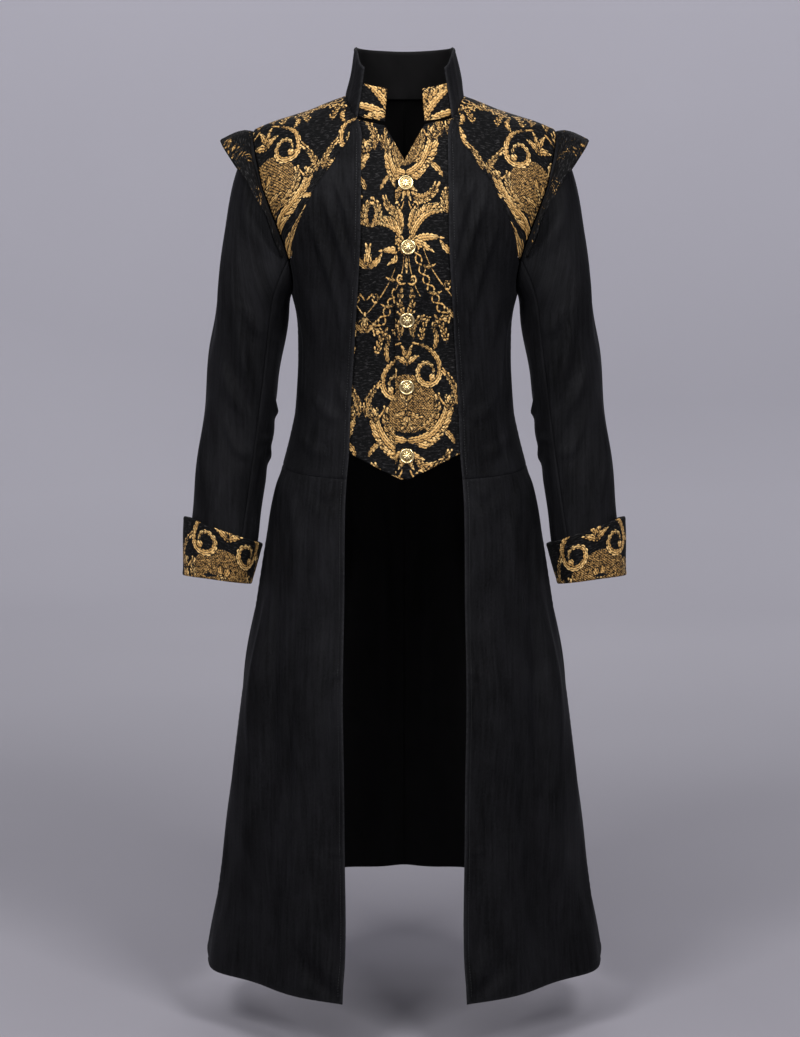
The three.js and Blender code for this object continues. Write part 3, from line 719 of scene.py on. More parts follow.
# Half a tile: places are out from the mirror line and up from the chart's zero, in millimetres.
# Later rows lie on top.
CHART = (
    # shield of the cartouche: acanthus down both sides of a seeded field, scrolls at its head
    (acanthus, ((4, -100), 6, 96, 92, 21, 8)),
    (acanthus, ((18, -84), 22, 60, 84, 13, 6)),
    (scroll, ((10, 34), -12, 168, -480, 10.5, 6.8)),
    (scroll, ((52, -40), -60, 62, 420, 6, 4.2)),
    (acanthus, ((12, 40), 96, 44, -120, 11, 5)),
    (leaf, ((46, 26), 58, 30, 10, 60)),
    (fan, ((0, 4), (90, 50), (30, 24), 10, -40)),
    (heart, ((0, -40), 12)),
    (fan, ((0, -62), (-90, -30), (26, 28), 9, 40)),
    # swag and pendant below it
    (fan, ((2, -112), (-90, -48), (30, 30), 11, 40)),
    (acanthus, ((14, -128), -26, 58, 96, 14, 6)),
    (scroll, ((6, -140), -70, 46, 330, 5.5, 3.8)),
    (leaf, ((74, -104), 112, 30, 10, 50)),
    # sprays over the twist
    (acanthus, ((10, -192), 64, 74, -66, 20, 7)),
    (fan, ((12, -194), (22, -2), (58, 44), 13, -34)),
    (leaf, ((7, -176), 84, 34, 11, -40)),
    # twisted band and the lines beside it
    (twist, ((17, -196), -74, 128, 22, 6.0, 30, 3.6)),
    (stem, ((32, -196), -72, 112, 34, 2.2)),
    (stem, ((5, -212), -88, 60, 34, 2.0)),
    (leaf, ((31, -226), -18, 24, 7, 46)),
    (leaf, ((37, -262), -22, 24, 7, 46)),
    (acanthus, ((46, -318), 78, 30, -80, 9, 4)),
    # buds on the mirror line
    (fan, ((0, -214), (90, 52), (30, 20), 9, -40)),
    (leaf, ((0, -216), -90, 22, 8)),
    (scroll, ((2, -250), -20, 34, 320, 4.6, 3.2)),
    (frond, ((4, -296), 58, 34, 44, 12, 7, 3)),
    (dot, ((0, -300), 2.6)),
    # sprigs over the next cartouche
    (frond, ((26, -330), 100, 26, -50, 10, 5, 3)),
    (frond, ((66, -332), 96, 36, 34, 11, 5, 4)),
    # the neighbouring mirror line
    (acanthus, ((80, -50), 100, 52, 40, 12, 5)),
    (acanthus, ((84, -156), 130, 38, -100, 13, 5)),
    (fan, ((83, -212), (94, 150), (36, 30), 11, -30)),
    (scroll, ((83, -256), 128, 42, 380, 5.5, 3.8)),
    (fan, ((83, -300), (94, 146), (28, 24), 9, -20)),
)


def lay_stroke(place, gap, tone, line, radii):
    """Lays one stroke over the chart with a dark outline, teeth, veins and a painted shade in its
    tone.
    """
    near, run, share, off = beside(place, line, radii.max() + OUTLINE + 1)
    wide = radii[:-1] + (radii[1:] - radii[:-1]) * share
    away = np.linalg.norm(off, axis=-1) - wide
    k = away.argmin(axis=1)
    row = np.arange(len(k))
    away, wide, off = away[row, k], wide[row, k], off[row, k]
    size = np.linalg.norm(run, axis=-1)
    bow_side = (run[k, 0] * off[:, 1] - run[k, 1] * off[:, 0]) / size[k]
    bow_side = bow_side / np.maximum(wide, 0.3)
    travel = np.concatenate([[0], np.cumsum(size)])[k] + share[row, k] * size[k]
    # painted shade: each stroke is painted darker at its root and on one side, lighter towards its
    # tip and on the other side
    shade = 0.9 * travel / size.sum() - 0.3 + 0.7 * bow_side
    teeth = TEETH["depth"] * (0.5 + 0.5 * np.cos(2 * math.pi * travel / TEETH["pitch"]))
    away = away + np.minimum(teeth, 0.45 * wide) * (wide > TEETH["least"])
    from_vein = np.abs(np.abs(bow_side) - VEIN["place"]) * wide
    away = np.where(wide > VEIN["least"], np.maximum(away, VEIN["width"] / 2 - from_vein), away)
    gap[near] = np.minimum(away, np.maximum(gap[near], OUTLINE - away))
    tone[near] = np.where(away < 0.5 * OUTLINE, shade, tone[near])


@functools.cache
def draw_chart():
    """Distance to the gold (negative inside) and its tone, over one half tile and one repeat; the
    tone holds painted shade on each stroke and the seeded field's darker gold.
    """
    a = np.arange(-CHART_MARGIN, HALF_TILE + CHART_MARGIN, CHART_PITCH)
    h = np.arange(CHART_LOW - CHART_MARGIN, CHART_LOW + REPEAT + CHART_MARGIN, CHART_PITCH)
    place = np.stack(np.meshgrid(a, h), axis=-1)
    gap = np.full(place.shape[:-1], BARE)
    tone = np.zeros(place.shape[:-1])
    # seeded field of the cartouche
    out = (place - np.array(FIELD["middle"])) / np.array(FIELD["half"])
    rim = (np.linalg.norm(out, axis=-1) - 1) * FIELD["half"][0]
    pitch = FIELD["pitch"]
    steps = [(place[..., 0] + sign * place[..., 1]) / pitch % 1 - 0.5 for sign in (1, -1)]
    lattice = np.minimum(*(np.abs(step) for step in steps)) * pitch * 0.7 - FIELD["thread"] / 2
    gap = np.minimum(gap, np.maximum(rim, lattice))
    tone[rim < 0] = FIELD["tone"]
    for kind, sizes in CHART:
        for line, weight in kind(*sizes):
            for lift in (-REPEAT, 0.0, REPEAT):
                raised = line + np.array([0.0, lift])
                radii = weight * WEIGHT
                lay_stroke(place, gap, tone, raised, radii)
                if line[:, 0].min() - radii.max() < 2:
                    lay_stroke(place, gap, tone, raised * np.array([-1.0, 1.0]), radii)
                if line[:, 0].max() + radii.max() > HALF_TILE - 2:
                    mirrored = raised * np.array([-1.0, 1.0]) + np.array([2 * HALF_TILE, 0.0])
                    lay_stroke(place, gap, tone, mirrored, radii)
    return gap, np.clip(tone, -1, 1)


def read_chart(chart, u, v):
    """Reads the chart at cloth places u across and v up, in millimetres, wherever they are."""
    u = u + WEAVE_DRIFT * np.sin(v / 17 + u / 31)
    v = v + WEAVE_DRIFT * np.sin(u / 19 - v / 37)
    a = np.abs((u + HALF_TILE) % (2 * HALF_TILE) - HALF_TILE)
    h = (v - CHART_LOW) % REPEAT + CHART_LOW
    column_at = (a + CHART_MARGIN) / CHART_PITCH
    row_at = (h - CHART_LOW + CHART_MARGIN) / CHART_PITCH
    c = column_at.astype(int)
    r = row_at.astype(int)
    dc = column_at - c
    dr = row_at - r
    above = chart[r, c] * (1 - dc) + chart[r, c + 1] * dc
    below = chart[r + 1, c] * (1 - dc) + chart[r + 1, c + 1] * dc
    return above * (1 - dr) + below * dr


# Where the chart's zero lies on each brocade piece, across and up.
BOLT = {
    "yoke_left": (2, 122),
    "yoke_right": (-5, 113),
    "wing_left": (6, -52),
    "wing_right": (-4, -60),
    "vest_left": (-3, 12),
    "vest_right": (19, 30),
    "vest_collar_left": (10, -148),
    "vest_collar_right": (16, -158),
    "cuff_left": (9, 22),
    "cuff_right": (-12, 16),
}


# ---- Cloth meshes ----
LAYER = {"vest_left": -3.0, "vest_right": -5.7, "vest_collar_left": -3.2, "vest_collar_right": -3.2}
SETTLE = 16.0  # folds die out this near a seam, so both its pieces meet
SEAM_DIP = 0.9
SEAM_WIDTH = 1.7
PUCKER = {"height": 0.28, "length": 7.5, "reach": 6.0}
ROLL = 1.9  # how far in from a folded edge its rounding starts
FOLD_SWELL = {"height": 0.45, "at": 3.6, "spread": 2.6}
STITCH = {"pitch": 3.7, "length": 2.7, "width": 0.62, "inset": 6.0, "lift": 0.3, "sink": 0.12}
CHANNEL = {"depth": 0.45, "width": 1.2}  # how a row of stitches pulls into the pile
WEAR_REACH = 2.6  # how far in a folded edge is rubbed
FLOAT_HEIGHT = 0.16  # the gold floats stand this proud of the ground


def run_along(points, axis):
    """Real distance along the rows or columns of a grid, from its first to its last line."""
    size = np.linalg.norm(np.diff(points, axis=axis), axis=-1)
    total = np.cumsum(size, axis=axis)
    return np.concatenate([np.zeros_like(np.take(total, [0], axis=axis)), total], axis=axis)


def settled(distance):
    """The share of a fold's height that is left this far from a seam."""
    return 1 - hump(distance / SETTLE)


def edge_profile(distance, along, kind, wall):
    """How a seam or a folded edge shapes the cloth beside it: height outside, inside, and wear."""
    if kind == "seam":
        turn = 2 * math.pi * along / PUCKER["length"] + 1.6 * np.sin(along / 23)
        pucker = PUCKER["height"] * np.sin(turn) * hump(distance / PUCKER["reach"])
        return pucker - SEAM_DIP * hump(distance / SEAM_WIDTH), 0 * distance, 0 * distance
    if kind in ("fold", "stitched"):
        past = 1 - np.clip(distance / ROLL, 0, 1)
        drop = 0.46 * wall * (1 - np.sqrt(1 - past**2))
        swell = FOLD_SWELL["height"] * hump((distance - FOLD_SWELL["at"]) / FOLD_SWELL["spread"])
        outside = swell * (1 - past) - drop
        if kind == "stitched":
            channel = hump((distance - STITCH["inset"]) / CHANNEL["width"])
            outside = outside - CHANNEL["depth"] * channel
        return outside, drop, hump(distance / WEAR_REACH)
    return 0 * distance, 0 * distance, 0 * distance


def quads(grid):
    """Four-sided faces between the rows and columns of a grid of point numbers."""
    corners = (grid[:-1, :-1], grid[1:, :-1], grid[1:, 1:], grid[:-1, 1:])
    return np.stack(corners, axis=-1).reshape(-1, 4)


def numbered(rows, columns, ring, first=0):
    """A grid of point numbers; a ring's last column is its first one again."""
    grid = first + np.arange(rows * columns).reshape(rows, columns)
    return np.hstack([grid, grid[:, :1]]) if ring else grid


def shell_faces(rows, columns, ring, coarse):
    """Faces of a closed wall: a fine outer grid, a coarse inner grid and rims.

    Also gives how many of the faces are outside, and which points the inner grid keeps.
    """
    outer = numbered(rows, columns, ring)
    last = outer.shape[1] - 1
    keep_rows = sorted({*range(0, rows, coarse), rows - 1})
    keep_columns = sorted({*range(0, last + 1, coarse), last})
    inner_columns = keep_columns[:-1] if ring else keep_columns
    inner = numbered(len(keep_rows), len(inner_columns), ring, rows * columns)
    faces = quads(outer).tolist()
    outside = len(faces)
    rims = []
    for k, (c, d) in enumerate(zip(keep_columns[:-1], keep_columns[1:])):
        rims.append([*outer[0, c : d + 1], inner[0, k + 1], inner[0, k]])
        rims.append([*outer[-1, c : d + 1][::-1], inner[-1, k], inner[-1, k + 1]])
    if not ring:
        for k, (r, s) in enumerate(zip(keep_rows[:-1], keep_rows[1:])):
            rims.append([*outer[r : s + 1, 0][::-1], inner[k, 0], inner[k + 1, 0]])
            rims.append([*outer[r : s + 1, -1], inner[k + 1, -1], inner[k, -1]])
    faces += [[int(i) for i in rim] for rim in rims]
    outside += len(rims)
    faces += quads(inner)[:, ::-1].tolist()
    return faces, outside, np.ix_(keep_rows, inner_columns)


def add_mesh(name, points, faces, flip=1):
    """A smooth mesh object from millimetre points; a flip of -1 turns it to the wearer's right."""
    mesh = bpy.data.meshes.new(name)
    placed = points * np.array([flip, 1, 1]) * MM
    mesh.from_pydata(placed.tolist(), [], faces if flip > 0 else [face[::-1] for face in faces])
    mesh.shade_smooth()
    piece = bpy.data.objects.new(name, mesh)
    bpy.context.scene.collection.objects.link(piece)
    return piece


def mark(piece, name, values, kind="FLOAT"):
    """Stores a number or a vector for each point, for the finishes to read."""
    layer = piece.data.attributes.new(name, kind, "POINT")
    key = "vector" if kind == "FLOAT_VECTOR" else "value"
    layer.data.foreach_set(key, np.ascontiguousarray(values, dtype=np.float32).ravel())


def straight_grain(across, down, base):
    """Grain that runs straight down from the piece's top edge."""
    return across, -down


def sew(name, nodes, surface, finishes, **cut_piece):
    """Makes one cut piece as a thin closed wall, marks its cloth and fixes it in the frame.

    cut_piece has node, side, wall, edges (left, right, top, bottom), relief, held and slot; held
    and slot are not used. It may have settles (False keeps the folds up to the seams), grain,
    chart, thin and dim (how much finer and darker the gold is), ring (closed round) and coarse (how
    much coarser the inside is).
    """
    side = cut_piece.get("side", "left")
    wall = cut_piece["wall"]
    ring = cut_piece.get("ring", False)
    normal = facing(surface, nodes)
    base = surface(nodes[..., 0], nodes[..., 1]) + normal * LAYER.get(cut_piece["node"], 0.0)
    closed = np.concatenate([base, base[:, :1]], axis=1) if ring else base
    across = run_along(closed, 1)
    width = across[:, -1:]
    across = across[:, : base.shape[1]]
    down = run_along(base, 0)
    length = down[-1:]
    distances = (across, width - across, down, length - down)
    alongs = (down, down, across, across)
    relief = cut_piece["relief"]
    if cut_piece.get("settles", True):
        for distance, kind in zip(distances, cut_piece["edges"]):
            if kind == "seam":
                relief = relief * settled(distance)
    outside = relief.copy()
    inside = relief - wall
    worn = np.zeros(base.shape[:2])
    for distance, along, kind in zip(distances, alongs, cut_piece["edges"]):
        up, under, wear = edge_profile(distance, along, kind, wall)
        outside += up
        inside += under
        worn = np.maximum(worn, wear)
    # each velvet piece is cut from its own part of the bolt
    shift = BOLT.get(cut_piece["node"], (sum(map(ord, name)) * 31.0, 0))
    u, v = cut_piece.get("grain", straight_grain)(across, down, base)
    u, v = u + shift[0], v + shift[1]
    chart = cut_piece.get("chart")
    if chart:
        gap = read_chart(chart[0], u, v) + cut_piece.get("thin", 0.0)
        # the tone carries the strokes' painted shade
        tone = read_chart(chart[1], u, v) - cut_piece.get("dim", 0.0)
        outside += FLOAT_HEIGHT * np.clip(0.5 - gap / 1.2, 0, 1)
    faces, outer_count, kept = shell_faces(*base.shape[:2], ring, cut_piece.get("coarse", 2))
    outer = base + normal * outside[..., None]
    inner = base[kept] + normal[kept] * inside[kept][..., None]
    points = np.vstack([outer.reshape(-1, 3), inner.reshape(-1, 3)])
    middle = tuple(size // 2 for size in base.shape[:2])
    step_down = base[middle[0] + 1, middle[1]] - base[middle]
    step_across = base[middle[0], middle[1] + 1] - base[middle]
    if np.dot(np.cross(step_down, step_across), normal[middle]) < 0:
        faces = [face[::-1] for face in faces]
    piece = add_mesh(name, points, faces, SIDES[side])
    grain = np.stack([u, v, 0 * u], axis=-1)
    grain = np.vstack([grain.reshape(-1, 3), grain[kept].reshape(-1, 3)])
    mark(piece, "grain", grain, "FLOAT_VECTOR")
    mark(piece, "worn", np.concatenate([worn.ravel(), worn[kept].ravel()]))
    if chart:
        mark(piece, "gold", np.concatenate([gap.ravel(), np.full(inner.size // 3, BARE)]))
        mark(piece, "tone", np.concatenate([tone.ravel(), np.zeros(inner.size // 3)]))
    for finish in finishes:
        piece.data.materials.append(finish)
    is_inside = np.zeros(len(faces), np.int32)
    is_inside[outer_count:] = 1
    piece.data.polygons.foreach_set("material_index", is_inside)
    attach(piece, BODY)
    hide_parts(cut_piece["node"])
    return piece


# ---- Finishes ----
WRONG_SIDE = (0.0016, 0.0015, 0.0016)
WRONG_SIDE_PALE = (0.0034, 0.0031, 0.0033)
THREAD = (0.004, 0.004, 0.0045)
THREAD_PALE = (0.016, 0.016, 0.018)


def fill(tree, sockets, values):
    """Fills sockets with values or with the outputs they come from."""
    for key, value in values.items():
        if isinstance(value, bpy.types.NodeSocket):
            tree.links.new(value, sockets[key])
        else:
            sockets[key].default_value = value


def made_once(name):
    """Makes a finish once, however many pieces ask for it, with the sockets that it names."""

    def wrap(sockets_of):
        def finish_of(context):
            if name not in bpy.data.materials:
                finish = bpy.data.materials.new(name)
                finish.use_nodes = True
                tree = finish.node_tree
                fill(tree, tree.nodes["Principled BSDF"].inputs, sockets_of(tree, context.scene))
            return bpy.data.materials[name]

        return finish_of

    return wrap


def node(tree, kind, sockets=None, **settings):
    made = tree.nodes.new(kind)
    for key, value in settings.items():
        setattr(made, key, value)
    fill(tree, made.inputs, sockets or {})
    return made.outputs[0]


def stored(tree, name):
    """A number that the mesh stores at each point."""
    return node(tree, "ShaderNodeAttribute", attribute_name=name).node.outputs["Fac"]


def cloth_place(tree):
    """The place on the cloth in millimetres, which runs with its grain."""
    return node(tree, "ShaderNodeAttribute", attribute_name="grain").node.outputs["Vector"]


def calculate(tree, operation, first, second):
    return node(tree, "ShaderNodeMath", {0: first, 1: second}, operation=operation)


def add(tree, first, second):
    return calculate(tree, "ADD", first, second)


def times(tree, first, second):
    return calculate(tree, "MULTIPLY", first, second)


def cloth_noise(tree, grain, stretch, detail=2.0, roughness=0.5):
    """Noise in cloth millimetres; stretch is how many changes it makes in each millimetre."""
    sockets = {0: grain, 1: (*stretch, 1.0)}
    scaled = node(tree, "ShaderNodeVectorMath", sockets, operation="MULTIPLY")
    sockets = {"Vector": scaled, "Scale": 1.0, "Detail": detail, "Roughness": roughness}
    return node(tree, "ShaderNodeTexNoise", sockets)


def ramp(tree, value, start, end, low=0.0, high=1.0):
    sockets = {"Value": value, "From Min": start, "From Max": end, "To Min": low, "To Max": high}
    return node(tree, "ShaderNodeMapRange", sockets, clamp=True)


def mix_colour(tree, share, first, second):
    sockets = {0: share, 6: first, 7: second}
    return node(tree, "ShaderNodeMix", sockets, data_type="RGBA").node.outputs[2]


def bump(tree, height, distance, strength):
    sockets = {"Height": height, "Distance": distance, "Strength": strength}
    return node(tree, "ShaderNodeBump", sockets)


def colour(values):
    return (*values, 1.0)


@made_once("black_velvet")
def velvet_finish(tree, scene):
    """Black velvet: a deep pile whose nap lies in uneven streaks, rubbed paler at folded edges."""
    look = scene.coat_velvet
    grain = cloth_place(tree)
    streaks = cloth_noise(tree, grain, (0.22, 0.012), 5.0, 0.7)
    patches = cloth_noise(tree, grain, (0.014, 0.008), 5.0, 0.62)
    pile = cloth_noise(tree, grain, (0.4, 0.28), 3.0, 0.75)
    nap = ramp(tree, streaks, 0.34, 0.68, 0, 0.5)
    nap = add(tree, nap, ramp(tree, patches, 0.36, 0.68, 0, 0.5))
    nap = add(tree, nap, ramp(tree, pile, 0.3, 0.7, -0.2, 0.2))
    rubbed = times(tree, stored(tree, "worn"), ramp(tree, pile, 0.35, 0.7, 0.2, 1))
    base = mix_colour(tree, nap, colour(look.deep), colour(look.brushed))
    base = mix_colour(tree, times(tree, rubbed, 0.5), base, colour(look.rubbed))
    height = add(tree, times(tree, pile, 0.25), times(tree, streaks, 0.6))
    return {
        "Base Color": base,
        "Roughness": ramp(tree, nap, 0, 1, 0.78, 0.56),
        "Normal": bump(tree, height, 0.0009, 0.55),
        "Specular IOR Level": look.gloss,
        "Sheen Weight": look.sheen,
        "Sheen Roughness": look.sheen_roughness,
        "Sheen Tint": colour(look.sheen_tint),
    }


@made_once("gold_on_black_brocade")
def brocade_finish(tree, scene):
    """Brocade: gold satin floats on a black crepe ground with fine ribs across it; the crepe's
    glints are painted highlights.
    """
    look = scene.coat_brocade
    grain = cloth_place(tree)
    ragged = cloth_noise(tree, grain, (0.24, 0.3), 4.0, 0.8)
    threads = cloth_noise(tree, grain, (0.34, 0.62), 3.0, 0.75)
    clouds = cloth_noise(tree, grain, (0.05, 0.06), 2.0)
    crepe = cloth_noise(tree, grain, (0.13, 0.6), 3.0, 0.65)
    gap = add(tree, stored(tree, "gold"), ramp(tree, ragged, 0.25, 0.75, -0.6, 0.85))
    gold = ramp(tree, gap, 0.25, -0.25)
    # the tone's painted shade mixes the gold between its shadow and its lit colour, with random
    # thread and cloud noise
    tone = times(tree, stored(tree, "tone"), 0.3)
    tone = add(tree, tone, ramp(tree, threads, 0.36, 0.66, 0.08, 0.82))
    tone = add(tree, tone, ramp(tree, clouds, 0.3, 0.7, -0.12, 0.14))
    gilt = mix_colour(tree, ramp(tree, tone, 0.0, 0.5), colour(look.gold_shadow), colour(look.gold))
    gilt = mix_colour(tree, ramp(tree, tone, 0.5, 1.05), gilt, colour(look.gold_light))
    # painted highlights: the crepe's glints are painted into the ground's colour
    glint = ramp(tree, crepe, 0.54, 0.7)
    ground = mix_colour(tree, glint, colour(look.ground), colour(look.ground_glint))
    ribs = add(tree, times(tree, crepe, 0.8), times(tree, threads, 0.35))
    height = add(tree, ribs, times(tree, gold, 0.4))
    return {
        "Base Color": mix_colour(tree, gold, ground, gilt),
        "Roughness": ramp(tree, gold, 0, 1, 0.8, 0.45),
        "Normal": bump(tree, height, 0.0004, 0.5),
        "Specular IOR Level": look.gloss,
        "Sheen Weight": 0.01,
    }


@made_once("black_wrong_side")
def lining_finish(tree, scene):
    """The cloth's dull black wrong side, with its twill."""
    grain = cloth_place(tree)
    sockets = {"Vector": grain, "Scale": 0.45, "Distortion": 1.2, "Detail": 2.0}
    twill = node(tree, "ShaderNodeTexWave", sockets, bands_direction="DIAGONAL")
    clouds = ramp(tree, cloth_noise(tree, grain, (0.04, 0.02), 3.0), 0.3, 0.7)
    return {
        "Base Color": mix_colour(tree, clouds, colour(WRONG_SIDE), colour(WRONG_SIDE_PALE)),
        "Roughness": ramp(tree, twill, 0, 1, 0.6, 0.75),
        "Normal": bump(tree, twill, 0.0003, 0.3),
        "Specular IOR Level": 0.12,
        "Sheen Weight": scene.coat_velvet.lining_sheen,
    }


@made_once("pale_gold_plate")
def button_finish(tree, scene):
    """Pale gold plating, darker in the hollows of the relief and rubbed bright on its rims."""
    look = scene.coat_buttons
    patina = cloth_noise(tree, cloth_place(tree), (0.35, 0.35), 4.0, 0.6)
    rubbed = add(tree, stored(tree, "worn"), ramp(tree, patina, 0.3, 0.7, -0.18, 0.18))
    return {
        "Base Color": mix_colour(tree, rubbed, colour(look.hollow), colour(look.plate)),
        "Roughness": ramp(tree, rubbed, 0, 1, look.roughness + 0.18, look.roughness),
        "Normal": bump(tree, patina, 0.00012, 0.4),
        "Metallic": 1.0,
    }


@made_once("black_thread")
def thread_finish(tree, scene):
    """Black sewing thread with a twist."""
    place = node(tree, "ShaderNodeNewGeometry")
    ply = node(tree, "ShaderNodeTexNoise", {"Vector": place, "Scale": 2600.0, "Detail": 1.0})
    twist_share = ramp(tree, ply, 0.35, 0.65)
    return {
        "Base Color": mix_colour(tree, twist_share, colour(THREAD), colour(THREAD_PALE)),
        "Roughness": ramp(tree, ply, 0.3, 0.7, 0.4, 0.6),
    }


@made_once("studio_paper")
def paper_finish(tree, scene):
    """Grey studio paper with painted light and shade: darker in the middle of the floor, paler
    further out and up the wall.
    """
    look = scene.coat_studio
    place = node(tree, "ShaderNodeNewGeometry")
    cloud = node(tree, "ShaderNodeTexNoise", {"Vector": place, "Scale": 0.7, "Detail": 2.0})
    on_floor = node(tree, "ShaderNodeVectorMath", {0: place, 1: (1, 1, 0)}, operation="MULTIPLY")
    out = node(tree, "ShaderNodeVectorMath", {0: on_floor}, operation="LENGTH")
    out = out.node.outputs["Value"]
    lift = node(tree, "ShaderNodeSeparateXYZ", {"Vector": place}).node.outputs["Z"]
    # painted light and shade: the colour runs from the shaded floor paper near the middle to the
    # pale wall paper far out and high up
    pale = add(tree, ramp(tree, out, 0.5, 5.0, 0, 0.6), ramp(tree, lift, -1.2, 1, 0, 0.4))
    pale = add(tree, pale, ramp(tree, cloud, 0.3, 0.7, -0.02, 0.02))
    return {
        "Base Color": mix_colour(tree, pale, colour(look.shaded_floor_paper), colour(look.paper)),
        "Roughness": 0.95,
        "Specular IOR Level": 0.1,
    }


# ---- Pieces ----
YOKE_MIDDLE = 188
YOKE_SPREAD = 1.12
LAPEL_LOW = -0.4  # no fold lets the coat's front sink further into the waistcoat


def yoke_grain(across, down, base):
    """Grain that hangs straight down from the shoulder ridge, centred on the shoulder."""
    ridge = np.abs(base[..., 1]).argmin(axis=0)
    columns = np.arange(base.shape[1])
    v = base[ridge, columns, 2] - (down - down[ridge, columns])
    return (base[..., 0] - YOKE_MIDDLE) * YOKE_SPREAD, v


def vest_grain(across, down, base):
    """Grain square to the middle plane, measured round the chest."""
    middle = [np.interp(0.0, -x, s) for x, s in zip(base[..., 0], across)]
    return np.array(middle)[:, None] - across, base[..., 2]


def band_grain(start):
    """Grain that runs round a band, from the column nearest a share of its width."""

    def grain(across, down, base):
        share = across / across[:, -1:]
        even = across[across.shape[0] // 2, -1]
        return (share - start) * even, -down

    return grain


def bodice_front_relief(nodes, points):
    relief = fold_relief(nodes, from_front(BODICE_FOLDS), FOLD_SCALE) + sway(points, 90, 0.9)
    inside = points[..., 0] - coat_edge(points[..., 2])
    return np.where(inside < VEST_UNDERLAP + 6, np.maximum(relief, LAPEL_LOW), relief)


def skirt_front_relief(nodes, points):
    return fold_relief(nodes, from_front(SKIRT_FOLDS), FOLD_SCALE) + sway(points, 130, 1.6)


def cut_from(cloth, context, name, side, nodes, surface, relief, edges, **more):
    """Sews one piece of a cloth; more can name what the piece has of its own."""
    settings = context.scene.coat_cloth
    node_name = f"{name}_{side}" if side else name
    finish = velvet_finish if cloth == "velvet" else brocade_finish
    wall = getattr(settings, f"{cloth}_wall") / MM
    usual = {"side": side or "left", "node": node_name, "slot": cloth, "held": "draped"}
    return sew(
        f"{node_name}_cloth",
        nodes,
        surface,
        [finish(context), lining_finish(context)],
        relief=relief * settings.fold_depth,
        edges=edges,
        **{**usual, "wall": wall, **more},
    )


def velvet_pair(context, name, nodes, surface, relief, edges, **more):
    for side in SIDES:
        cut_from("velvet", context, name, side, nodes, surface, relief, edges, **more)


def brocade_pair(context, name, nodes, surface, relief, edges, **more):
    more = {"chart": draw_chart(), "coarse": 4, **more}
    for side in SIDES:
        cut_from("brocade", context, name, side, nodes, surface, relief, edges, **more)


def front_edge_nodes(top, bottom, inset=0.0):
    z = np.linspace(top, bottom, 161)
    return front_node(coat_edge(z) + inset, z)


BUTTON = {
    "height": 3.6,
    "face": (7.7, 0.02),
    "dome_foot": 2.35,
    "dome": 0.55,
    "relief_foot": 2.2,
    "segments": 96,
}
# A button's rim from the middle of its back round to its face: distance out, height.
BUTTON_RIM = (
    (0.01, 0.0),
    (6.0, 0.0),
    (9.4, 0.05),
    (10.2, 0.6),
    (10.5, 1.3),
    (10.5, 2.1),
    (10.25, 2.75),
    (9.7, 3.25),
    (9.1, 3.42),
    (8.5, 3.2),
    (8.0, 2.75),
)
BUTTON_COUNT = 5


def stitch_mesh(name, points, normals, flip):
    """A row of thread stitches along a line of surface points."""
    run = np.concatenate([[0], np.cumsum(np.linalg.norm(np.diff(points, axis=0), axis=1))])
    count = int(run[-1] / STITCH["pitch"])
    share = np.linspace(-0.5, 0.5, 5)
    turn = np.arange(6) * math.pi / 3
    rings, faces = [], []
    for i in range(count):
        at = (i + 0.5) * STITCH["pitch"] + share * STITCH["length"]
        line = np.stack([np.interp(at, run, points[:, k]) for k in range(3)], axis=-1)
        up = np.stack([np.interp(at, run, normals[:, k]) for k in range(3)], axis=-1)
        along = line[-1] - line[0]
        side = np.cross(along / np.linalg.norm(along), up)
        arch = STITCH["lift"] * (1 - (2 * share) ** 2) - STITCH["sink"]
        radius = STITCH["width"] / 2 * np.sqrt(1.02 - (2 * share) ** 2)
        for k in range(5):
            spoke = np.cos(turn)[:, None] * side[k] + np.sin(turn)[:, None] * up[k]
            rings.append(line[k] + up[k] * arch[k] + spoke * radius[k])
        first = i * 30
        for k in range(4):
            for s in range(6):
                a, b = first + k * 6 + s, first + k * 6 + (s + 1) % 6
                faces.append([a, b, b + 6, a + 6])
        faces.append([first + s for s in range(5, -1, -1)])
        faces.append([first + 24 + s for s in range(6)])
    return add_mesh(name, np.vstack(rings), faces, flip)


def button_relief(radius, turn):
    """The button's face: a roped rim, a ring of beads and a plain eight-leaf flower."""
    rope = 0.16 * np.cos(turn * 32 + radius * 2.2) * hump((radius - 9.1) / 0.7)
    beads = 0.28 * np.cos(turn * 14) ** 2 * hump((radius - 7.0) / 0.55)
    leaf_edge = 1.6 + 4.0 * np.abs(np.cos(turn * 4)) ** 0.7
    rib = 0.75 + 0.25 * np.abs(np.cos(turn * 4))
    petals = 0.62 / (1 + np.exp((radius - leaf_edge) * 3.2)) * rib
    return rope + beads + petals + 0.55 * hump(radius / 1.1)


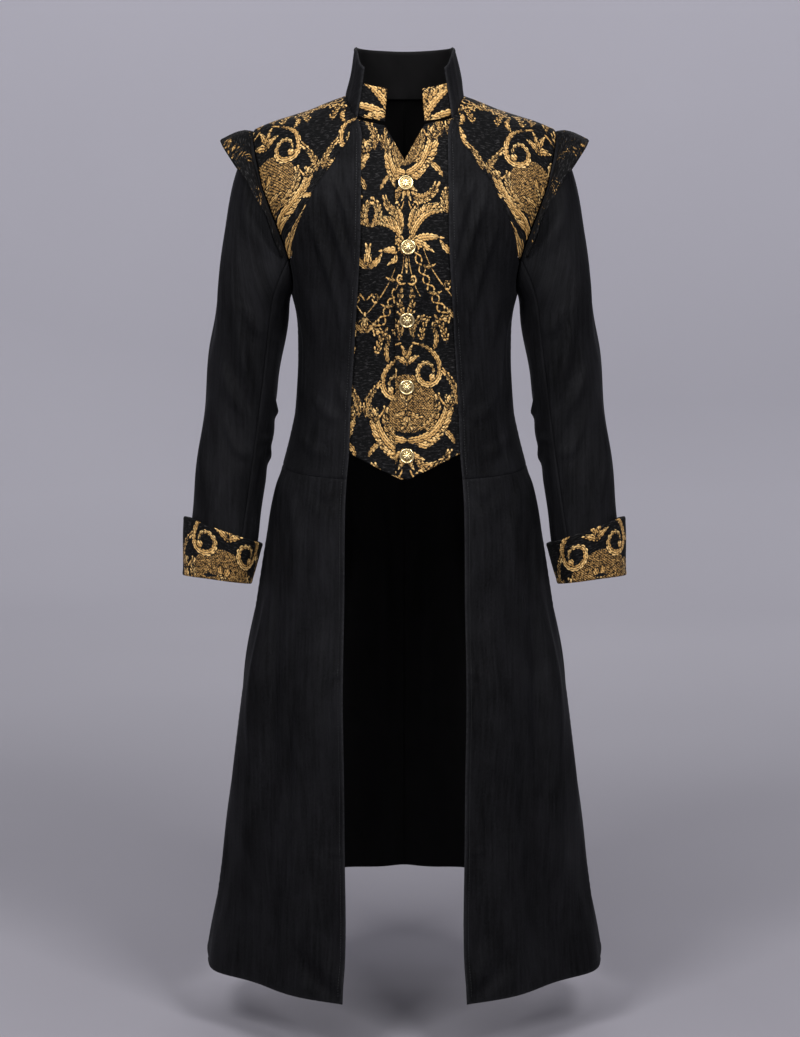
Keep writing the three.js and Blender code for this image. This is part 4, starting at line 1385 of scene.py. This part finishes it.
def button_mesh(name, place, normal):
    """A shank button: a plated disc with a turned-up rim round its relief."""
    face = np.linspace(*BUTTON["face"], 26)
    dome = BUTTON["dome_foot"] + BUTTON["dome"] * (1 - (face / 8) ** 2)
    profile = np.vstack([BUTTON_RIM, np.stack([face, dome], axis=-1)])
    turn = np.linspace(0, 2 * math.pi, BUTTON["segments"], endpoint=False)
    radius = np.repeat(profile[:, :1], len(turn), axis=1)
    raised = button_relief(radius, turn[None]) * (profile[:, 1:] > BUTTON["relief_foot"])
    height = profile[:, 1:] + raised
    side = np.cross([0, 0, 1], normal)
    side = side / np.linalg.norm(side)
    x = radius * np.cos(turn)
    y = radius * np.sin(turn)
    axes = (side, np.cross(normal, side), normal)
    points = place + sum(size[..., None] * axis for size, axis in zip((x, y, height), axes))
    ids = numbered(*x.shape, ring=True)
    ends = [ids[0, :-1][::-1].tolist(), ids[-1, :-1].tolist()]
    piece = add_mesh(name, points.reshape(-1, 3), quads(ids)[:, ::-1].tolist() + ends)
    rubbed = np.clip(raised * 1.5, 0, 1) + hump((radius - 9.3) / 1.2)
    mark(piece, "worn", np.clip(rubbed, 0, 1))
    mark(piece, "grain", np.stack([x, y, height], axis=-1), "FLOAT_VECTOR")
    return piece


# ---- Settings ----
def shade(name, about, default):
    return bpy.props.FloatVectorProperty(
        name=name, description=about, default=default, size=3, subtype="COLOR", min=0, max=1
    )


def amount(name, about, default, **kind):
    return bpy.props.FloatProperty(name=name, description=about, default=default, **kind)


def share(name, about, default):
    return amount(name, about, default, min=0, max=2, subtype="FACTOR")


def distance(name, about, default):
    return amount(name, about, default, min=0.0002, max=10, subtype="DISTANCE", unit="LENGTH")


def power(name, about, default):
    return amount(name, about, default, min=0, unit="POWER")


class CoatCloth(bpy.types.PropertyGroup):
    """Walls, mesh steps and fold depth of the cloth"""

    velvet_wall: distance("Velvet", "Thickness of the velvet", 0.0015)
    brocade_wall: distance("Brocade", "Thickness of the brocade", 0.0012)
    collar_wall: distance("Collar", "Thickness of the interfaced collar", 0.0025)
    wing_wall: distance("Wing", "Thickness of the padded shoulder wings", 0.0022)
    cuff_wall: distance("Cuff", "Thickness of the turned-back cuffs", 0.002)
    velvet_step: distance("Velvet Step", "Mesh step of the velvet pieces", 0.0046)
    brocade_step: distance("Brocade Step", "Mesh step of the brocade pieces", 0.0013)
    fold_depth: share("Fold Depth", "Depth of the hand-placed folds", 2.0)


class CoatVelvet(bpy.types.PropertyGroup):
    """The black velvet"""

    deep: shade("Deep", "Colour where the nap stands against the light", (0.0012, 0.0012, 0.0014))
    brushed: shade("Brushed", "Colour where the nap is brushed flat", (0.0088, 0.0088, 0.0101))
    rubbed: shade("Rubbed", "Colour of worn folded edges", (0.03, 0.03, 0.033))
    sheen_tint: shade("Sheen Tint", "Colour of the pile's sheen", (0.82, 0.85, 1.0))
    sheen: share("Sheen", "Strength of the pile's sheen", 0.01)
    sheen_roughness: share("Sheen Roughness", "Spread of the pile's sheen", 0.38)
    gloss: share("Gloss", "Specular level of the pile", 0.05)
    lining_sheen: share("Lining Sheen", "Sheen of the wrong side", 0.01)


class CoatBrocade(bpy.types.PropertyGroup):
    """The gold and black brocade"""

    gold: shade("Gold", "Colour of the gold floats", (0.53, 0.3, 0.098))
    gold_light: shade("Gold Light", "Colour of the gold where it catches light", (0.98, 0.71, 0.32))
    gold_shadow: shade("Gold Shadow", "Colour of the gold in its shadows", (0.085, 0.046, 0.014))
    ground: shade("Ground", "Colour of the black ground", (0.0012, 0.0012, 0.0014))
    # the glint colour is a painted highlight of the crepe
    ground_glint: shade("Ground Glint", "Colour of the ground's crepe", (0.03, 0.0285, 0.029))
    gloss: share("Gloss", "Specular level of the threads", 0.08)


class CoatButtons(bpy.types.PropertyGroup):
    """The plated buttons"""

    plate: shade("Plate", "Colour of the plating", (0.98, 0.79, 0.41))
    hollow: shade("Hollow", "Colour in the hollows of the relief", (0.16, 0.095, 0.03))
    roughness: share("Roughness", "Roughness of the rubbed plating", 0.2)


class CoatStudio(bpy.types.PropertyGroup):
    """Floor, wall and lights"""

    paper: shade("Paper", "Colour of the studio paper on the wall", (0.82, 0.805, 0.865))
    # the floor paper is painted shade, much darker than the wall's paper
    shaded_floor_paper: shade("Floor Paper", "Colour of the paper on the floor", (0.26, 0.25, 0.28))
    sky: shade("Sky", "Colour of the soft light from above", (0.93, 0.94, 1.0))
    sky_strength: share("Sky Strength", "Strength of the soft light from above", 0.34)
    key_power: power("Key", "Power of the front softbox", 30)
    side_power: power("Sides", "Power of each side softbox", 62)
    back_power: power("Back", "Power of the back softbox", 40)
    floor_gap: distance("Floor Gap", "Height of the hem above the floor", 0.085)
    cove_radius: distance("Cove", "Distance to the studio's curved wall", 6.0)


SETTINGS = {
    "coat_cloth": CoatCloth,
    "coat_velvet": CoatVelvet,
    "coat_brocade": CoatBrocade,
    "coat_buttons": CoatButtons,
    "coat_studio": CoatStudio,
}


# ---- Operators: one for each kind of piece ----
class CoatOperator:
    bl_options = {"REGISTER", "UNDO"}


class CutFronts(CoatOperator, bpy.types.Operator):
    """Cuts the two velvet bodice fronts, from the yoke seam to the waist seam"""

    bl_idname = "coat.cut_fronts"
    bl_label = "Bodice Fronts"

    def execute(self, context):
        step = context.scene.coat_cloth.velvet_step / MM
        left = front_edge_nodes(YOKE_SEAM[0]["z"], WAIST_SEAM["front"])
        right = [yoke_seam, armhole_node(np.linspace(YOKE_STEP, 180, 25)), side_seam]
        top = straight(left[0], yoke_seam[0])
        bottom = across_level(WAIST_SEAM, left[-1][0], 90)
        nodes = cut(body, [left], right, [top], [bottom], step)
        relief = bodice_front_relief(nodes, body(nodes[..., 0], nodes[..., 1]))
        edges = ("stitched", "seam", "seam", "seam")
        velvet_pair(context, "front", nodes, body, relief, edges)
        return {"FINISHED"}


class CutBacks(CoatOperator, bpy.types.Operator):
    """Cuts the two velvet backs with their middle seam"""

    bl_idname = "coat.cut_backs"
    bl_label = "Bodice Backs"

    def execute(self, context):
        step = context.scene.coat_cloth.velvet_step / MM
        left = straight(NECK_BACK, (180.0, WAIST_SEAM["back"]))
        right = [armhole_node(np.linspace(SHOULDER_SEAM_STEP, -180, 60)), side_seam]
        top = [straight(NECK_BACK, NECK_SEAM), straight(NECK_SEAM, SHOULDER_TIP)]
        bottom = across_level(WAIST_SEAM, 180, 90)
        nodes = cut(body, [left], right, top, [bottom], step, MIDDLE_BACK_INSETS)
        points = body(nodes[..., 0], nodes[..., 1])
        relief = fold_relief(nodes, BACK_FOLDS, FOLD_SCALE) + sway(points, 110, 1.1)
        velvet_pair(context, "back", nodes, body, relief, ("seam",) * 4)
        return {"FINISHED"}


class CutYokes(CoatOperator, bpy.types.Operator):
    """Cuts the two brocade shoulder yokes"""

    bl_idname = "coat.cut_yokes"
    bl_label = "Shoulder Yokes"

    def execute(self, context):
        step = context.scene.coat_cloth.brocade_step / MM
        neck = smooth([NECK_SEAM, NECK_SIDE, *neck_front, yoke_nodes[0]])
        right = armhole_node(np.linspace(SHOULDER_SEAM_STEP, YOKE_STEP, 70))
        top = straight(NECK_SEAM, SHOULDER_TIP)
        bottom = straight(yoke_nodes[-1], right[-1])
        nodes = cut(body, [neck, yoke_seam], [right], [top], [bottom], step)
        relief = sway(body(nodes[..., 0], nodes[..., 1]), 70, 0.6)
        brocade_pair(context, "yoke", nodes, body, relief, ("seam",) * 4, grain=yoke_grain)
        return {"FINISHED"}


class CutWings(CoatOperator, bpy.types.Operator):
    """Cuts the two brocade shoulder wings that stand out over the sleeve heads"""

    bl_idname = "coat.cut_wings"
    bl_label = "Shoulder Wings"

    def execute(self, context):
        cloth = context.scene.coat_cloth
        left, right = [straight((end, WING_TUCK), (end, 1.0)) for end in (-WING_END, WING_END)]
        root_line, free_line = [
            straight((-WING_END, out), (WING_END, out), 160) for out in (WING_TUCK, 1.0)
        ]
        step = cloth.brocade_step / MM
        nodes = cut(wing_face, [left], [right], [root_line], [free_line], step, UNCUT)
        points = wing_face(nodes[..., 0], nodes[..., 1])
        out = np.linalg.norm(points - points[:1], axis=-1)
        root = hump(out / WING_THIN["reach"])
        bulge = WING_BULGE * np.sin(math.pi * nodes[..., 1])
        brocade_pair(
            context,
            "wing",
            nodes,
            wing_face,
            bulge - WING_THIN["outside"] * root + sway(points, 60, 0.7),
            ("fold", "fold", "seam", "fold"),
            grain=band_grain(0.5),
            wall=cloth.wing_wall / MM - WING_THIN["wall"] * root,
            settles=False,
            thin=0.7,
            dim=0.75,
        )
        return {"FINISHED"}


class CutCollar(CoatOperator, bpy.types.Operator):
    """Cuts the velvet stand collar"""

    bl_idname = "coat.cut_collar"
    bl_label = "Stand Collar"

    def execute(self, context):
        first, last = 1.0, 2.0 * MIDDLE_BACK - 1
        foot = -COLLAR["foot"] / COLLAR["height"]
        left, right = [straight((end, 1.0), (end, foot)) for end in (first, last)]
        top, bottom = [straight((first, share), (last, share), 240) for share in (1.0, foot)]
        nodes = cut(collar_face, [left], [right], [top], [bottom], COLLAR_STEP, UNCUT)
        relief = sway(collar_face(nodes[..., 0], nodes[..., 1]), 60, 0.5)
        edges = ("stitched", "stitched", "stitched", "seam")
        more = {"wall": context.scene.coat_cloth.collar_wall / MM, "held": "stretched"}
        cut_from("velvet", context, "collar", "", nodes, collar_face, relief, edges, **more)
        return {"FINISHED"}


class CutWaistcoat(CoatOperator, bpy.types.Operator):
    """Cuts the two brocade waistcoat fronts, the wearer's left one over the other"""

    bl_idname = "coat.cut_waistcoat"
    bl_label = "Waistcoat Fronts"

    def execute(self, context):
        step = context.scene.coat_cloth.brocade_step / MM
        neck = np.array([(row["x"], row["z"]) for row in VEST_NECK], float)
        hem = np.array([(row["x"], row["z"]) for row in VEST_HEM], float)
        z = np.linspace(neck[0, 1], hem[0, 1], 120)
        left = np.stack([coat_edge(z) + VEST_UNDERLAP, z], axis=-1)
        right = straight(neck[-1], hem[-1], 120)
        nodes = cut(front_face, [left], [right], [neck], [hem], step, UNCUT)
        points = front_face(nodes[..., 0], nodes[..., 1])
        inside = coat_edge(nodes[..., 1]) - nodes[..., 0]
        relief = fold_relief(nodes, VEST_FOLDS, 1.0) + sway(points, 80, 0.6)
        relief = np.where(inside < 6, np.minimum(relief, 0.3), relief)
        edges = ("none", "fold", "fold", "fold")
        brocade_pair(context, "vest", nodes, front_face, relief, edges, grain=vest_grain)
        return {"FINISHED"}


class CutCollarTabs(CoatOperator, bpy.types.Operator):
    """Cuts the two brocade tabs that stand inside the collar's front ends"""

    bl_idname = "coat.cut_collar_tabs"
    bl_label = "Collar Tabs"

    def execute(self, context):
        step = context.scene.coat_cloth.brocade_step / MM
        top, foot = [COLLAR[key] / COLLAR["height"] for key in ("tab_height", "foot")]
        left, right = [straight((end, top), (end, foot)) for end in (0.0, 2.0)]
        upper, lower = straight(left[0], right[0]), straight(left[-1], right[-1])
        nodes = cut(collar_face, [left], [right], [upper], [lower], step, UNCUT)
        relief = sway(collar_face(nodes[..., 0], nodes[..., 1]), 50, 0.3)
        edges = ("fold", "fold", "fold", "seam")
        grain = band_grain(0.0)
        brocade_pair(context, "vest_collar", nodes, collar_face, relief, edges, grain=grain)
        return {"FINISHED"}


class CutSleeves(CoatOperator, bpy.types.Operator):
    """Cuts the two-piece velvet sleeves and gathers their drag folds"""

    bl_idname = "coat.cut_sleeves"
    bl_label = "Sleeves"

    def execute(self, context):
        step = context.scene.coat_cloth.velvet_step / MM
        names = ("sleeve_upper", "sleeve_under")
        for name, start, end in zip(names, SLEEVE_SEAMS[:-1], SLEEVE_SEAMS[1:]):
            seams = [
                [straight((at, 0.0), (at, 1.0)), straight((at, 1.0), (at, 2.0))]
                for at in (start, end)
            ]
            head, mouth = [straight((start, at), (end, at), 120) for at in (0.0, 2.0)]
            nodes = cut(sleeve_face, *seams, [head], [mouth], step, SLEEVE_INSETS)
            points = sleeve_face(nodes[..., 0], nodes[..., 1])
            wrapped = (nodes[..., 0] - SLEEVE_SEAMS[0]) % 360 + SLEEVE_SEAMS[0]
            places = np.stack([wrapped, points[..., 2]], axis=-1)
            relief = fold_relief(places, SLEEVE_FOLDS, SLEEVE_SCALE) + sway(points, 75, 1.0)
            edges = ("seam", "seam", "seam", "fold")
            velvet_pair(context, name, nodes, sleeve_face, relief, edges, held="hung")
        return {"FINISHED"}


class CutCuffs(CoatOperator, bpy.types.Operator):
    """Cuts the two turned-back brocade cuffs"""

    bl_idname = "coat.cut_cuffs"
    bl_label = "Turned-Back Cuffs"

    def execute(self, context):
        cloth = context.scene.coat_cloth
        height = CUFF["outer_top"] - CUFF["outer_foot"]
        rows = shares_of(height, cloth.brocade_step / MM, (0, 0))
        round_arm = np.arange(0, 360, 1.25)
        nodes = np.stack(np.broadcast_arrays(round_arm[None], rows[:, None]), axis=-1)
        points = cuff_face(nodes[..., 0], nodes[..., 1])
        seam = hump((nodes[..., 0] - CUFF_SEAM["step"]) / CUFF_SEAM["width"])
        brocade_pair(
            context,
            "cuff",
            nodes,
            cuff_face,
            sway(points, 70, 1.0) - CUFF_SEAM["depth"] * seam,
            ("none", "none", "fold", "fold"),
            grain=band_grain(0.25),
            wall=cloth.cuff_wall / MM,
            ring=True,
            held="folded",
        )
        return {"FINISHED"}


class CutSkirts(CoatOperator, bpy.types.Operator):
    """Cuts the flared velvet skirt: two fronts and two backs"""

    bl_idname = "coat.cut_skirts"
    bl_label = "Skirts"

    def execute(self, context):
        step = context.scene.coat_cloth.velvet_step / MM
        side_edge = straight((90.0, WAIST_SEAM["side"]), (90.0, HEM["side"]))
        left = front_edge_nodes(WAIST_SEAM["front"], HEM["front"])
        top = across_level(WAIST_SEAM, left[0][0], 90)
        bottom = across_level(HEM, left[-1][0], 90)
        nodes = cut(body, [left], [side_edge], [top], [bottom], step, SKIRT_FRONT_INSETS)
        relief = skirt_front_relief(nodes, body(nodes[..., 0], nodes[..., 1]))
        edges = ("stitched", "seam", "seam", "fold")
        velvet_pair(context, "skirt_front", nodes, body, relief, edges, held="hung")
        left = straight((180.0, WAIST_SEAM["back"]), (180.0, HEM["back"]))
        top = across_level(WAIST_SEAM, 180, 90)
        bottom = across_level(HEM, 180, 90)
        nodes = cut(body, [left], [side_edge], [top], [bottom], step, MIDDLE_BACK_INSETS)
        points = body(nodes[..., 0], nodes[..., 1])
        relief = fold_relief(nodes, SKIRT_BACK_FOLDS, FOLD_SCALE) + sway(points, 140, 1.8)
        edges = ("seam", "seam", "seam", "fold")
        velvet_pair(context, "skirt_back", nodes, body, relief, edges, held="hung")
        return {"FINISHED"}


class SewEdges(CoatOperator, bpy.types.Operator):
    """Sews the rows of topstitching along the coat's front edges"""

    bl_idname = "coat.sew_edges"
    bl_label = "Edge Stitching"

    def execute(self, context):
        depth = context.scene.coat_cloth.fold_depth
        wall = context.scene.coat_cloth.velvet_wall / MM
        waist = WAIST_SEAM["front"]
        rows = (
            ("bodice", -52, waist + 3, bodice_front_relief),
            ("skirt", waist - 3, HEM["front"] + 6, skirt_front_relief),
        )
        for name, top, bottom, relief_of in rows:
            nodes = front_edge_nodes(top, bottom, STITCH["inset"] * 1.1)
            points = body(nodes[..., 0], nodes[..., 1])
            normals = facing(body, nodes)
            inset = np.full(len(nodes), STITCH["inset"])
            height = relief_of(nodes, points) * depth * settled(nodes[..., 1] - waist)
            height = height + edge_profile(inset, inset, "stitched", wall)[0]
            for side, flip in SIDES.items():
                path = points + normals * height[:, None]
                row = stitch_mesh(f"{name}_edge_stitches_{side}", path, normals, flip)
                row.data.materials.append(thread_finish(context))
                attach(row, BODY)
        return {"FINISHED"}


class SetButtons(CoatOperator, bpy.types.Operator):
    """Sets the five plated buttons where the frame has them"""

    bl_idname = "coat.set_buttons"
    bl_label = "Buttons"

    def execute(self, context):
        for number in range(1, BUTTON_COUNT + 1):
            low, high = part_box(f"button_{number}")
            middle = np.array((low + high) / 2) / MM
            normal = facing(front_face, middle[None, [0, 2]])[0]
            back = middle - normal * BUTTON["height"] / 2
            piece = button_mesh(f"button_{number}_plated", back, normal)
            piece.data.materials.append(button_finish(context))
            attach(piece, BODY)
            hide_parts(f"button_{number}")
        return {"FINISHED"}


class SetStage(CoatOperator, bpy.types.Operator):
    """Sets the pale round cove, soft lights and the camera"""

    bl_idname = "coat.set_stage"
    bl_label = "Studio"

    def execute(self, context):
        studio = context.scene.coat_studio
        floor = FRAME_BOX[0][2] - studio.floor_gap
        cove = cove_object(studio, floor)
        cove.data.materials.append(paper_finish(context))
        for name, place, target, size, watts in SOFTBOXES:
            add_softbox(f"{name}_softbox", place, target, size, getattr(studio, watts))
        world = bpy.data.worlds.new("soft_sky")
        world.use_nodes = True
        background = world.node_tree.nodes["Background"]
        background.inputs["Color"].default_value = colour(studio.sky)
        background.inputs["Strength"].default_value = studio.sky_strength
        context.scene.world = world
        add_camera(context)
        context.scene.view_settings.view_transform = "Standard"
        return {"FINISHED"}


# Softboxes in metres: name, place, what they face, width and height, whose power.
SOFTBOXES = (
    ("front", (-0.4, -3.2, 2.4), (0, 0, -0.3), (1.6, 1.0), "key_power"),
    ("left", (1.2, -2.0, 1.3), (0, 0, -0.2), (0.8, 1.0), "side_power"),
    ("right", (-1.2, -2.0, 1.3), (0, 0, -0.2), (0.8, 1.0), "side_power"),
    ("back", (0.6, 3.6, 1.9), (0, 0, -0.5), (3.0, 2.2), "back_power"),
)
COVE_CURVE = 2.0
COVE_HEIGHT = 4.2
CAMERA_PLACE = (-0.0064, -3.27, -0.229)
CAMERA_TILT = 6.45
CAMERA_LENS = 79.85


def cove_object(studio, floor):
    """A round studio: a flat floor that curves up into a wall on every side."""
    bend = np.linspace(0, math.pi / 2, 17)
    flat = studio.cove_radius - COVE_CURVE
    radius = [0.01, 1.5, 3.0, *(flat + COVE_CURVE * np.sin(bend)), studio.cove_radius]
    height = [0, 0, 0, *(COVE_CURVE * (1 - np.cos(bend))), COVE_HEIGHT]
    turn = np.linspace(0, 2 * math.pi, 96, endpoint=False)
    points = np.stack(
        [
            np.outer(radius, np.cos(turn)),
            np.outer(radius, np.sin(turn)),
            np.outer(height, np.ones_like(turn)) + floor,
        ],
        axis=-1,
    )
    faces = quads(numbered(*points.shape[:2], ring=True)).tolist()
    faces.append(list(range(len(turn))))
    return add_mesh("studio_cove", points.reshape(-1, 3) / MM, faces)


def add_softbox(name, place, target, size, power):
    light = bpy.data.lights.new(name, "AREA")
    light.shape = "RECTANGLE"
    light.size, light.size_y = size
    light.energy = power
    box = bpy.data.objects.new(name, light)
    box.location = place
    box.rotation_euler = (Vector(target) - Vector(place)).to_track_quat("-Z", "Y").to_euler()
    box.visible_camera = False
    bpy.context.scene.collection.objects.link(box)


def add_camera(context):
    lens = bpy.data.cameras.new("camera")
    lens.lens = CAMERA_LENS
    camera = bpy.data.objects.new("camera", lens)
    camera.location = CAMERA_PLACE
    camera.rotation_euler = (math.radians(90 - CAMERA_TILT), 0, 0)
    context.scene.collection.objects.link(camera)
    context.scene.camera = camera


class CoatPanel(bpy.types.Panel):
    """Lists the coat's pieces and settings"""

    bl_idname = "VIEW3D_PT_frock_coat"
    bl_label = "Frock Coat"
    bl_space_type = "VIEW_3D"
    bl_region_type = "UI"
    bl_category = "Frock Coat"

    def draw(self, context):
        for name in SETTINGS:
            box = self.layout.box()
            for key in getattr(context.scene, name).__annotations__:
                box.prop(getattr(context.scene, name), key)
        for operator in OPERATORS:
            self.layout.operator(operator.bl_idname)


OPERATORS = (
    CutFronts,
    CutBacks,
    CutYokes,
    CutWings,
    CutCollar,
    CutWaistcoat,
    CutCollarTabs,
    CutSleeves,
    CutCuffs,
    CutSkirts,
    SewEdges,
    SetButtons,
    SetStage,
)


def register():
    for kind in (*SETTINGS.values(), *OPERATORS, CoatPanel):
        bpy.utils.register_class(kind)
    for name, kind in SETTINGS.items():
        setattr(bpy.types.Scene, name, bpy.props.PointerProperty(type=kind))


def unregister():
    for name in SETTINGS:
        delattr(bpy.types.Scene, name)
    for kind in (CoatPanel, *OPERATORS[::-1], *SETTINGS.values()):
        bpy.utils.unregister_class(kind)


def main():
    """Makes the coat and its studio."""
    register()
    for operator in OPERATORS:
        group, name = operator.bl_idname.split(".")
        getattr(getattr(bpy.ops, group), name)()


if __name__ == "__main__":
    main()
